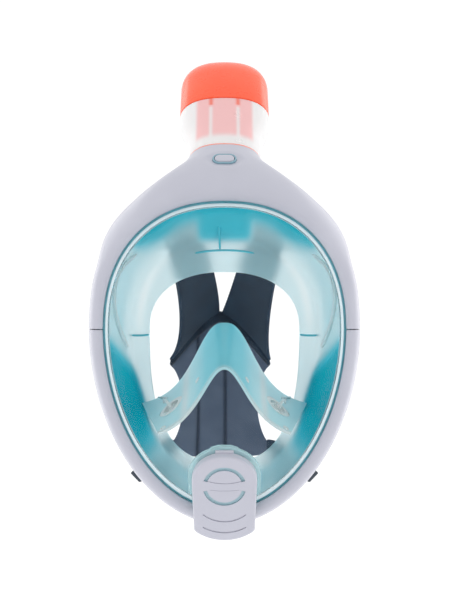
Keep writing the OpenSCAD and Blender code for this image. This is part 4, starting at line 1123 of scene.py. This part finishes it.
def swell_up(piece, sewn):
    """Runs Cloth with the sewn corners pinned, and caps how far a corner may move."""
    before = [corner.co.copy() for corner in piece.data.vertices]
    pins = piece.vertex_groups.new(name="sewn")
    pins.add([corner.index for corner in piece.data.vertices if sewn(*(corner.co / TABLE))], 1, "ADD")
    cloth = piece.modifiers.new("Cloth", "CLOTH")
    cloth.settings.vertex_group_mass = "sewn"
    cloth.settings.use_pressure = True
    cloth.settings.uniform_pressure_force = PRESSURE
    cloth.settings.effector_weights.gravity = 0
    for step in range(1, SWELL_FRAMES + 1):
        bpy.context.scene.frame_set(step)
    pick_up(piece)
    bpy.ops.object.modifier_apply(modifier=cloth.name)
    bpy.context.scene.frame_set(1)
    for corner, start in zip(piece.data.vertices, before):
        moved = corner.co - start
        if moved.length > SWELL_CAP * TABLE:
            corner.co = start + moved * (SWELL_CAP * TABLE / moved.length)


back_pad = lay("back_pad_cushion", PAD_COLUMNS, 2 * PAD_ROWS, flat_pad)
weld(back_pad)
turn_out(back_pad)
swell_up(back_pad, lambda x, y, z: abs(y) < 0.05 or pad_seam(x) > 0.75)
swollen = max(abs(corner.co.y) for corner in back_pad.data.vertices) / TABLE
print("pad swollen to", round(swollen, 2), "mm each way")

# %% [markdown]
# The swollen pad is bent round the head and drawn in at its waist, corner by corner, and each corner keeps
# how near it is to a seam, for the painted shade in its stitched channels. The hem is a roll of its own, laid
# round the pad's upper edge.

# %% Bend the pad round the head and roll its hem
WAIST_IN, WAIST_END, LOW_CURVE = 10, 0.875, 5
# The depth on the pad marks its stitched channels, where shade is painted.
channel_shade = back_pad.data.attributes.new("depth", "FLOAT", "POINT")
for corner in back_pad.data.vertices:
    x, depth, z = corner.co / TABLE
    row = -z / PAD_H
    channel_shade.data[corner.index].value = pad_seam(x)
    top, low = hem_z(x) - HEM_R + TUCK, -PAD_DROP + LOW_CURVE * (x / PAD_HALF_W) ** 2
    waist = max(0, sind(180 * max(0, min(1, row / WAIST_END)))) ** 0.6
    drawn_in = WAIST_IN * abs(x / PAD_HALF_W) ** 3 * waist
    px = x - math.copysign(drawn_in, x)
    corner.co = MM * Vector((PAD_SHIFT + px, pad_y(px) + PAD_T / 2 + depth, mix(top, low, row)))
subdivide(back_pad, 1)
smooth(back_pad, 60)


def hem_place(u, v):
    s = 2 * v - 1
    x = PAD_HALF_W * s
    thick = max(0, 1 - abs(s) ** 24) ** 0.5
    return (
        PAD_SHIFT + x,
        pad_y(x) + PAD_T / 2 + thick * HEM_D * cosd(360 * u),
        hem_z(x) - thick * HEM_R * sind(360 * u),
    )


pad_hem = lay("pad_hem_roll", 20, 72, hem_place)
weld(pad_hem)
smooth(pad_hem, 60)
report(back_pad)
report(pad_hem)

# %% [markdown]
# ## Finishes
# Moulded plastic is never one flat colour: its gloss wanders a little and its skin has a fine grain. A
# painted picture could show that, but noise textures on Object coordinates need no map and fit any size. A
# few helpers add the nodes that every finish below is built from.

# %% Nodes that the finishes share
NOISE_LOW, NOISE_HIGH = 0.3, 0.7


def new_finish(name):
    finish = bpy.data.materials.new(name)
    finish.use_nodes = True
    tree = finish.node_tree
    return finish, tree, tree.nodes["Principled BSDF"]


def add_noise(tree, scale, detail):
    where = tree.nodes.new("ShaderNodeTexCoord")
    noise = tree.nodes.new("ShaderNodeTexNoise")
    noise.inputs["Scale"].default_value = scale
    noise.inputs["Detail"].default_value = detail
    tree.links.new(where.outputs["Object"], noise.inputs["Vector"])
    return noise.outputs["Fac"]


def map_range(tree, value, from_low, from_high, low, high):
    ranged = tree.nodes.new("ShaderNodeMapRange")
    ranged.inputs["From Min"].default_value = from_low
    ranged.inputs["From Max"].default_value = from_high
    ranged.inputs["To Min"].default_value = low
    ranged.inputs["To Max"].default_value = high
    tree.links.new(value, ranged.inputs["Value"])
    return ranged.outputs["Result"]


def spread(tree, value, low, high):
    return map_range(tree, value, NOISE_LOW, NOISE_HIGH, low, high)


def add_bump(tree, shader, height, strength, distance):
    bump = tree.nodes.new("ShaderNodeBump")
    bump.inputs["Strength"].default_value = strength
    bump.inputs["Distance"].default_value = distance * MM
    tree.links.new(height, bump.inputs["Height"])
    tree.links.new(bump.outputs["Normal"], shader.inputs["Normal"])


def ramp(tree, value, first, *stops):
    """A colour ramp with one stop for each (position, colour)."""
    node = tree.nodes.new("ShaderNodeValToRGB")
    band = node.color_ramp.elements
    band[0].position, band[0].color = first[0], (*first[1], 1)
    band[1].position, band[1].color = stops[-1][0], (*stops[-1][1], 1)
    for position, colour in stops[:-1]:
        band.new(position).color = (*colour, 1)
    tree.links.new(value, node.inputs["Fac"])
    return node.outputs["Color"]


def tint_between(tree, value, first, second):
    return ramp(tree, value, (NOISE_LOW, first), (NOISE_HIGH, second))


print("node helpers ready")

# %% [markdown]
# A moulded finish takes one noise for its tint, one for its gloss and one for the bump of its grain. A clear
# finish passes light through instead of a tint, and the lens has a thin coat that catches the room.

# %% Moulded and clear finishes
def moulded(name, first, second, gloss, grain=0.05, coat=0.0, specular=0.5):
    finish, tree, shader = new_finish(name)
    tree.links.new(tint_between(tree, add_noise(tree, 25, 3), first, second), shader.inputs["Base Color"])
    tree.links.new(spread(tree, add_noise(tree, 140, 4), *gloss), shader.inputs["Roughness"])
    add_bump(tree, shader, add_noise(tree, 2200, 2), grain, 0.05)
    shader.inputs["Specular IOR Level"].default_value = specular
    shader.inputs["Coat Weight"].default_value = coat
    shader.inputs["Coat Roughness"].default_value = 0.08
    return finish


def clear(name, tint, gloss, ior, grain=0.0):
    finish, tree, shader = new_finish(name)
    shader.inputs["Base Color"].default_value = (*tint, 1)
    shader.inputs["Transmission Weight"].default_value = 1
    shader.inputs["IOR"].default_value = ior
    tree.links.new(spread(tree, add_noise(tree, 60, 3), *gloss), shader.inputs["Roughness"])
    if grain:
        add_bump(tree, shader, add_noise(tree, 900, 3), grain, 0.05)
    return finish


FRAME_WHITE = (0.47, 0.475, 0.55), (0.5, 0.505, 0.58), (0.3, 0.38), 0.06, 0.2
frame_white = moulded("frame_white", *FRAME_WHITE)
cover_white = moulded("cover_white", *FRAME_WHITE)
cap_orange = moulded("cap_orange", (0.95, 0.09, 0.025), (0.98, 0.11, 0.035), (0.25, 0.32), 0.03, 0.3, 0.3)
gasket_orange = moulded("gasket_orange", (0.88, 0.16, 0.08), (0.93, 0.2, 0.1), (0.4, 0.5), 0.1)
clasp_dark = moulded("clasp_dark", (0.03, 0.045, 0.065), (0.045, 0.06, 0.08), (0.35, 0.45), 0.12)
float_white = moulded("float_white", (0.8, 0.8, 0.77), (0.86, 0.86, 0.83), (0.5, 0.65), 0.3)
wall_white = moulded("wall_white", (0.9, 0.9, 0.9), (0.94, 0.94, 0.94), (0.3, 0.4), 0.05)
lens_clear = clear("lens_clear", (0.99, 0.997, 1), (0.0, 0.02), 1.06)
lens_shader = lens_clear.node_tree.nodes["Principled BSDF"]
lens_shader.inputs["Coat Weight"].default_value = 0.04
lens_shader.inputs["Coat Roughness"].default_value = 0.02
skirt_silicone = clear("skirt_silicone", (0.95, 0.99, 0.99), (0.28, 0.4), 1.25, 0.1)
pocket_silicone = clear("pocket_silicone", (0.93, 0.985, 0.99), (0.12, 0.22), 1.25, 0.08)
tube_frosted = clear("tube_frosted", (0.99, 0.98, 0.98), (0.2, 0.28), 1.25, 0.1)
seat_pale = clear("seat_pale", (0.95, 0.99, 0.99), (0.06, 0.12), 1.25)
ring_blue = moulded("ring_blue", (0.2, 0.36, 0.44), (0.24, 0.4, 0.48), (0.2, 0.3), 0.04, 0.2)
print("moulded and clear finishes made")

# %% [markdown]
# ## Painted depth
# Silicone and frosted plastic are clear and milky at once: light passes straight through, and some of it
# scatters in the material's own colour. A painted attribute, called depth, says at every corner how much
# scatters and in which colour. The skirt is pale on its lip and deep teal where the eye looks along a wall,
# so its depth grows from the lip to the rim, band by band round the face. In some places the depth also
# carries painted light: highlights on the skirt's lip fold, the pocket and the lens's foot, the skirt seen
# through the lens's edge, and the glow of the tube's cage.

# %% The skirt's depth
def rim_share(x, z, edge=0):
    n = SQUARE_TOP if z >= 0 else SQUARE_BOTTOM
    reach = (RIM_TOP if z >= 0 else RIM_BOTTOM) + edge
    return ((abs(x) / (RIM_HALF_W + edge)) ** n + (abs(z) / reach) ** n) ** (1 / n)


def skirt_depth(x, y, z):
    turn = math.degrees(math.atan2(z, abs(x)))
    share = rim_share(x, z)
    fold_at = mix(0.95, 0.8, ease((-2 - turn) / 28)) + 0.07 * ease((-38 - turn) / 20)
    flank = 0.9 * ease((-2 - turn) / 10) * ease((turn + 64) / 16) * ease((share - fold_at) / 0.035)
    brow = 0.3 * min(1, 1.4 * swell(turn, 90, 56)) * ease((share - 0.82) / 0.1)
    bridge = 0.72 * ease((19.5 - abs(x)) / 3.5) * ease((z - 57) / 8)
    chin = 0.1 * swell(turn, -90, 45) * ease((share - 0.84) / 0.08)
    wall = 0.09 * ease((share - 0.84) / 0.06)
    # a painted highlight: a pale line along the lip's fold, where the depth is lowered towards clear white
    fold_highlight = 0.1 * swell(share, 0.73, 0.03) * swell(turn, 22, 40)
    line = 0.45 * ease((share - 0.93) / 0.015) * ease((turn - 40) / 6)
    temple = 0.32 * swell(turn, 55, 15) * ease((share - 0.83) / 0.07)
    return min(1, max(0.1 + flank + brow + temple + chin + wall + line, bridge) - fold_highlight)


def rib_depth(x, y, z):
    on_lip = abs(x) < 30 or z < -3.5 and abs(x) < 66
    return 0.55 * on_lip


print("depth of the skirt's brow", round(skirt_depth(0, 0, RIM_TOP), 2))

# %% [markdown]
# The nose pocket has painted highlights along its edges and arms, the lens has a painted highlight as a pale
# border with a painted teal line at its foot where the skirt shows through its edge, and the tube has a
# painted pink glow in front of its orange cage, with a white line where each inner wall stands.

# %% Depth of the pocket, the lens and the tube
WALL_X = 9.5


def pocket_tint_and_highlight(x, y, z):
    bridge = ease((24 - abs(x)) / 14)
    edge = ease((dome_y(x, z, LENS_WALL) + 3.4 - y) / 2.4)
    # The terms taken away paint highlights: a pale streak on each arm 26 mm out, and a pale rim along the
    # front edge by the lens.
    return max(0.05, 0.3 + 0.3 * bridge - 0.2 * swell(abs(x), 26, 4) - 0.3 * edge)


def lens_foot_glint(x, y, z):
    # Painted light at the lens's foot: a pale band that is a painted highlight, and at the very edge a teal
    # line, the skirt's flange painted as it shows through the lens's edge.
    share = rim_share(x, z, DOME_EDGE)
    return 0.5 * ease((share - 0.962) / 0.012) + 0.5 * ease((share - 0.994) / 0.006)


def tube_cage_glow(x, y, z):
    across = Vector((x, y, z)) - SOCKET_MOUTH
    q, w = across.dot(TUBE_FRONT), across.dot(TUBE_AXIS)
    # Painted glow: the orange cage's light through the frosted wall, pink in front of it, broken by a white
    # line where each inner wall stands, and the cage's legs painted below the cap.
    cage_glow = ease((21 - abs(x)) / 3) * ease((w - 9) / 8)
    rib_white = swell(abs(x), WALL_X, 2.2) * ease((48 - w) / 2)
    leg = swell(abs(x), WALL_X, 2.6) * ease((w - 48.5) / 1.5)
    return ease((q - 2) / 4) * (0.5 * cage_glow * (1 - 0.8 * rib_white) + 0.5 * leg)


print("inner walls", 2 * WALL_X, "mm apart")

# %% [markdown]
# The formulas are set at the corners, so a sharp change would follow the mesh in steps. On the skirt the
# paint is evened out between neighbours, as a brush would do it.

# %% Paint the clear pieces
def paint_depth(piece, shell_depth, shell_corners=None, detail_depth=lambda x, y, z: 0):
    """Paints the shell's corners by their place, and those of the small details joined on after them."""
    depth = piece.data.attributes.new("depth", "FLOAT", "POINT")
    for corner in piece.data.vertices:
        of_shell = shell_corners is None or corner.index < shell_corners
        depth.data[corner.index].value = (shell_depth if of_shell else detail_depth)(*(corner.co / MM))


def soften_depth(piece, rounds):
    """Evens the paint out by giving each corner the mean of itself and its neighbours."""
    depth = piece.data.attributes["depth"].data
    for _ in range(rounds):
        before = [corner.value for corner in depth]
        total, count = before[:], [1] * len(before)
        for edge in piece.data.edges:
            a, b = edge.vertices
            total[a] += before[b]
            total[b] += before[a]
            count[a] += 1
            count[b] += 1
        for corner, value, parts in zip(depth, total, count):
            corner.value = value / parts


paint_depth(face_skirt, skirt_depth, skirt_corners, rib_depth)
soften_depth(face_skirt, 4)
paint_depth(nose_pocket, pocket_tint_and_highlight, pocket_corners)
paint_depth(lens, lens_foot_glint)
paint_depth(snorkel_tube, tube_cage_glow)
print("depth painted on", len(face_skirt.data.vertices), "corners of the skirt")

# %% [markdown]
# Subsurface scattering would be true to silicone, but in walls this thin it is slow and hardly shows. So a
# plain scattering shader is mixed into each clear finish, and two colour ramps read the painted depth: one
# gives the scattered colour and one the share of the light that scatters.

# %% Mix the scattering shader into the clear finishes
def milky(finish, colours, shares):
    """Each list runs over the painted depth: the scattered colour, and the share that scatters."""
    tree = finish.node_tree
    painted = tree.nodes.new("ShaderNodeAttribute")
    painted.attribute_name = "depth"
    milk = tree.nodes.new("ShaderNodeBsdfPrincipled")
    milk.inputs["Roughness"].default_value = 0.5
    milk.inputs["Specular IOR Level"].default_value = 0
    tree.links.new(ramp(tree, painted.outputs["Fac"], *colours), milk.inputs["Base Color"])
    both = tree.nodes.new("ShaderNodeMixShader")
    greys = [(position, (share, share, share)) for position, share in shares]
    tree.links.new(ramp(tree, painted.outputs["Fac"], *greys), both.inputs[0])
    tree.links.new(tree.nodes["Principled BSDF"].outputs["BSDF"], both.inputs[1])
    tree.links.new(milk.outputs["BSDF"], both.inputs[2])
    tree.links.new(both.outputs["Shader"], tree.nodes["Material Output"].inputs["Surface"])


# The pale stops near depth 0 give the painted highlight along the lip's fold.
milky(
    skirt_silicone,
    [(0, (0.95, 0.98, 0.98)), (0.1, (0.6, 0.88, 0.94)), (0.5, (0.12, 0.64, 0.76)), (1, (0.003, 0.42, 0.54))],
    [(0, 0.08), (0.1, 0.36), (0.4, 0.72), (0.8, 1)],
)
# The pale stops at low depth give the pocket's painted highlights along its edges and arms.
milky(
    pocket_silicone,
    [(0, (0.92, 0.98, 0.98)), (0.3, (0.58, 0.9, 0.96)), (0.6, (0.24, 0.74, 0.85)), (1, (0.12, 0.55, 0.65))],
    [(0, 0.6), (0.3, 0.68), (0.6, 0.72), (1, 0.8)],
)
# The lens's ramp paints its foot: the pale highlight band near depth 0.5, and the teal line of the skirt seen
# through its edge at depth 1.
milky(
    lens_clear,
    [(0, (0.85, 0.93, 0.95)), (0.5, (0.78, 0.88, 0.92)), (1, (0.25, 0.66, 0.76))],
    [(0, 0), (0.4, 0.7), (1, 0.8)],
)
# The tube's pink and orange stops are the painted glow of its cage.
milky(
    tube_frosted,
    [(0, (0.97, 0.965, 0.965)), (0.5, (1, 0.62, 0.62)), (1, (0.97, 0.25, 0.19))],
    [(0, 0.72), (1, 0.8)],
)
milky(seat_pale, [(0, (0.62, 0.88, 0.92)), (1, (0.62, 0.88, 0.92))], [(0, 0.4), (1, 0.4)])
print("clear finishes made milky")

# %% [markdown]
# Spring and screws are bare stainless steel. One metallic finish with a fine, uneven gloss is enough, because
# they are small and mostly hidden.

# %% Steel
steel, tree, shader = new_finish("drawn_steel")
shader.inputs["Metallic"].default_value = 1
steel_tint = tint_between(tree, add_noise(tree, 300, 4), (0.52, 0.53, 0.55), (0.66, 0.67, 0.69))
tree.links.new(steel_tint, shader.inputs["Base Color"])
tree.links.new(spread(tree, add_noise(tree, 900, 3), 0.2, 0.38), shader.inputs["Roughness"])
add_bump(tree, shader, add_noise(tree, 3000, 2), 0.15, 0.02)
print("steel made")

# %% [markdown]
# ## Woven finishes
# Webbing shows ribs across its length. The straps carry a UV map that runs along them, so two wave
# textures on it, scaled to the strap's real size, give the weave's bump and colour. The pad and hem have
# a closer knit, which two crossed waves on Object coordinates give without a map.

# %% Webbing and pad fabric
def add_wave(tree, vector, scale, direction):
    wave = tree.nodes.new("ShaderNodeTexWave")
    wave.bands_direction = direction
    wave.inputs["Scale"].default_value = scale
    wave.inputs["Distortion"].default_value = 0.4
    wave.inputs["Detail"].default_value = 1
    tree.links.new(vector, wave.inputs["Vector"])
    return wave.outputs["Fac"]


def woven(name, first, second, coordinates, scales, directions, strength, sheen):
    finish, tree, shader = new_finish(name)
    where = tree.nodes.new("ShaderNodeTexCoord")
    crossed = tree.nodes.new("ShaderNodeMath")
    crossed.operation = "MULTIPLY"
    for k in range(2):
        thread = add_wave(tree, where.outputs[coordinates], scales[k], directions[k])
        tree.links.new(thread, crossed.inputs[k])
    worn = tree.nodes.new("ShaderNodeMath")
    worn.operation = "MULTIPLY_ADD"
    worn.inputs[1].default_value = 0.45
    tree.links.new(crossed.outputs["Value"], worn.inputs[0])
    tree.links.new(spread(tree, add_noise(tree, 55, 4), 0.15, 0.5), worn.inputs[2])
    tree.links.new(tint_between(tree, worn.outputs["Value"], first, second), shader.inputs["Base Color"])
    add_bump(tree, shader, crossed.outputs["Value"], strength, 0.25)
    shader.inputs["Roughness"].default_value = 0.85
    shader.inputs["Specular IOR Level"].default_value = 0.2
    shader.inputs["Sheen Weight"].default_value = sheen
    shader.inputs["Sheen Roughness"].default_value = 0.5
    return finish


strap_webbing = woven(
    "strap_webbing", (0.01, 0.026, 0.05), (0.025, 0.054, 0.09), "UV", (22, 150), ("X", "Y"), 0.35, 0.08
)
pad_fabric = woven(
    "pad_fabric", (0.066, 0.094, 0.147), (0.11, 0.147, 0.211), "Object", (900, 900), ("X", "Z"), 0.3, 0.25
)
hem_fabric = woven(
    "hem_fabric", (0.006, 0.016, 0.032), (0.018, 0.038, 0.066), "Object", (700, 700), ("X", "Z"), 0.35, 0.15
)
print("woven finishes made")

# %% [markdown]
# The pad's stitched channels, where shade is painted, and the floor of the cover's vents, tinted like the
# silicone behind them, are darker than what surrounds them. Both were painted as depth when the pieces were
# made, so one helper mixes a second colour in by that attribute.

# %% Painted shade in the pad's seams, and tinted vents
def tint_depth(finish, colour):
    """Mixes a second colour into a finish where the piece's painted depth is 1."""
    tree = finish.node_tree
    colour_socket = tree.nodes["Principled BSDF"].inputs["Base Color"]
    painted = tree.nodes.new("ShaderNodeAttribute")
    painted.attribute_name = "depth"
    tinted = tree.nodes.new("ShaderNodeMix")
    tinted.data_type = "RGBA"
    tinted.inputs["B"].default_value = (*colour, 1)
    tree.links.new(painted.outputs["Fac"], tinted.inputs["Factor"])
    tree.links.new(colour_socket.links[0].from_socket, tinted.inputs["A"])
    tree.links.new(tinted.outputs["Result"], colour_socket)


# painted shade in the pad's stitched channels
tint_depth(pad_fabric, (0.012, 0.022, 0.04))
tint_depth(cover_white, (0.34, 0.5, 0.56))
print("seams and vents tinted")

# %% [markdown]
# ## Dressing the pieces
# Every new piece rides on the body that carries it and replaces its imported node. So
# it moves with its joint, and nothing is shown twice.

# %% Finish and body of each piece
def dress(piece, finish, body, slot, *replaced):
    piece.data.materials.clear()
    piece.data.materials.append(finish)
    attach(piece, body)
    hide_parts(*replaced)


dress(upper_frame, frame_white, "mask", "frame_plastic", "upper_frame")
dress(lower_frame, frame_white, "mask", "frame_plastic", "lower_frame")
dress(lens, lens_clear, "mask", "clear_lens", "lens")
dress(face_skirt, skirt_silicone, "mask", "skirt_silicone", "face_skirt")
dress(nose_pocket, pocket_silicone, "mask", "skirt_silicone", "nose_pocket")
dress(snorkel_tube, tube_frosted, "snorkel", "frosted_tube", "snorkel_tube")
dress(snorkel_cap, cap_orange, "snorkel", "orange_plastic", "snorkel_cap")
dress(release_button, frame_white, "button", "frame_plastic", "release_button")
dress(button_bezel, ring_blue, "mask", "bezel_plastic", "button_bezel")
dress(chin_cover, cover_white, "mask", "frame_plastic", "chin_cover")
for node, piece in clasps.items():
    dress(piece, clasp_dark, "mask", "clasp_plastic", node)
for node, piece in straps.items():
    dress(piece, strap_webbing, "mask", "strap_fabric", node)
dress(back_pad, pad_fabric, "mask", "pad_fabric", "back_pad")
dress(pad_hem, hem_fabric, "mask", "hem_fabric", "pad_hem")
print("new pieces dressed")

# %% [markdown]
# Pieces that stay as packed, such as valves, float and screws, get a finish of their own. They are small or
# sit behind something clear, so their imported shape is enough.

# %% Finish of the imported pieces
def repaint(finish, *names):
    for name in names:
        for slot in nodes[name].material_slots:
            slot.material = finish


repaint(frame_white, "retainer_ring", "frame_joiner_left", "frame_joiner_right")
repaint(steel, "frame_screws", "button_spring")
repaint(seat_pale, "chin_valve_seat")
repaint(pocket_silicone, "inhale_seat_left", "inhale_seat_right", "inhale_valve_left", "inhale_valve_right")
repaint(pocket_silicone, "chin_valve", "float_seal")
repaint(wall_white, "channel_walls")
repaint(gasket_orange, "tube_gasket")
repaint(cap_orange, "valve_cage")
repaint(float_white, "float")
print("packed pieces repainted")

# %% [markdown]
# ## Camera, light and floor
# The mask is shown as in a catalogue: seen straight from the front, held well above a white floor, in a
# white room that is a little dimmer on the camera's side. A long lens keeps the nose and the snorkel in
# proportion.

# %% The camera and the room
CAMERA_AT, CAMERA_LENS, SENSOR_H = (0.00035, -0.962, 0.0196), 54.97, 24
put_down()
bpy.ops.object.camera_add(location=CAMERA_AT, rotation=(math.radians(90), 0, 0))
camera = bpy.context.object
camera.name = "front_camera"
camera.data.sensor_fit = "VERTICAL"
camera.data.sensor_height = SENSOR_H
camera.data.lens = CAMERA_LENS
bpy.context.scene.camera = camera

room = bpy.data.worlds.new("white_room")
room.use_nodes = True
tree = room.node_tree
background = tree.nodes["Background"]
background.inputs["Color"].default_value = (1, 1, 1, 1)
where = tree.nodes.new("ShaderNodeTexCoord")
apart = tree.nodes.new("ShaderNodeSeparateXYZ")
tree.links.new(where.outputs["Generated"], apart.inputs["Vector"])
tree.links.new(map_range(tree, apart.outputs["Y"], -1, 0.2, 0.95, 1.06), background.inputs["Strength"])
bpy.context.scene.world = room
bpy.context.scene.view_settings.view_transform = "Standard"
print("camera", CAMERA_AT[1], "m in front of the frame's origin")

# %% [markdown]
# Two large lamps brighten the frame's flanks and a weak one its top. The floor lies so far below that no
# shadow reaches it, and it glows a little, so that it is as white as the room.

# %% Lamps and floor
FLOOR_Z, FLOOR_R = -0.55, 6


def lamp(name, place, target, size, watts):
    put_down()
    bpy.ops.object.light_add(type="AREA", location=place)
    light = bpy.context.object
    light.name = name
    light.data.shape = "RECTANGLE"
    light.data.size, light.data.size_y = size
    light.data.energy = watts
    light.rotation_euler = (Vector(target) - Vector(place)).to_track_quat("-Z", "Y").to_euler()


lamp("left_lamp", (-0.95, 0.5, 0.2), (0, 0, 0), (1.0, 1.4), 4)
lamp("right_lamp", (0.95, 0.5, 0.2), (0, 0, 0), (1.0, 1.4), 4)
lamp("top_lamp", (0, -0.5, 1.2), (0, 0, 0), (1.0, 1.0), 0.5)

put_down()
bpy.ops.mesh.primitive_circle_add(
    vertices=96, radius=FLOOR_R, fill_type="NGON", location=(0, 0, FLOOR_Z)
)
floor = named("floor")
bpy.ops.object.transform_apply(location=True)
floor_white, tree, shader = new_finish("floor_white")
shader.inputs["Base Color"].default_value = (0.98, 0.98, 0.98, 1)
shader.inputs["Roughness"].default_value = 0.9
shader.inputs["Emission Color"].default_value = (1, 1, 1, 1)
shader.inputs["Emission Strength"].default_value = 0.12
floor.data.materials.append(floor_white)
print("lamps and floor set")
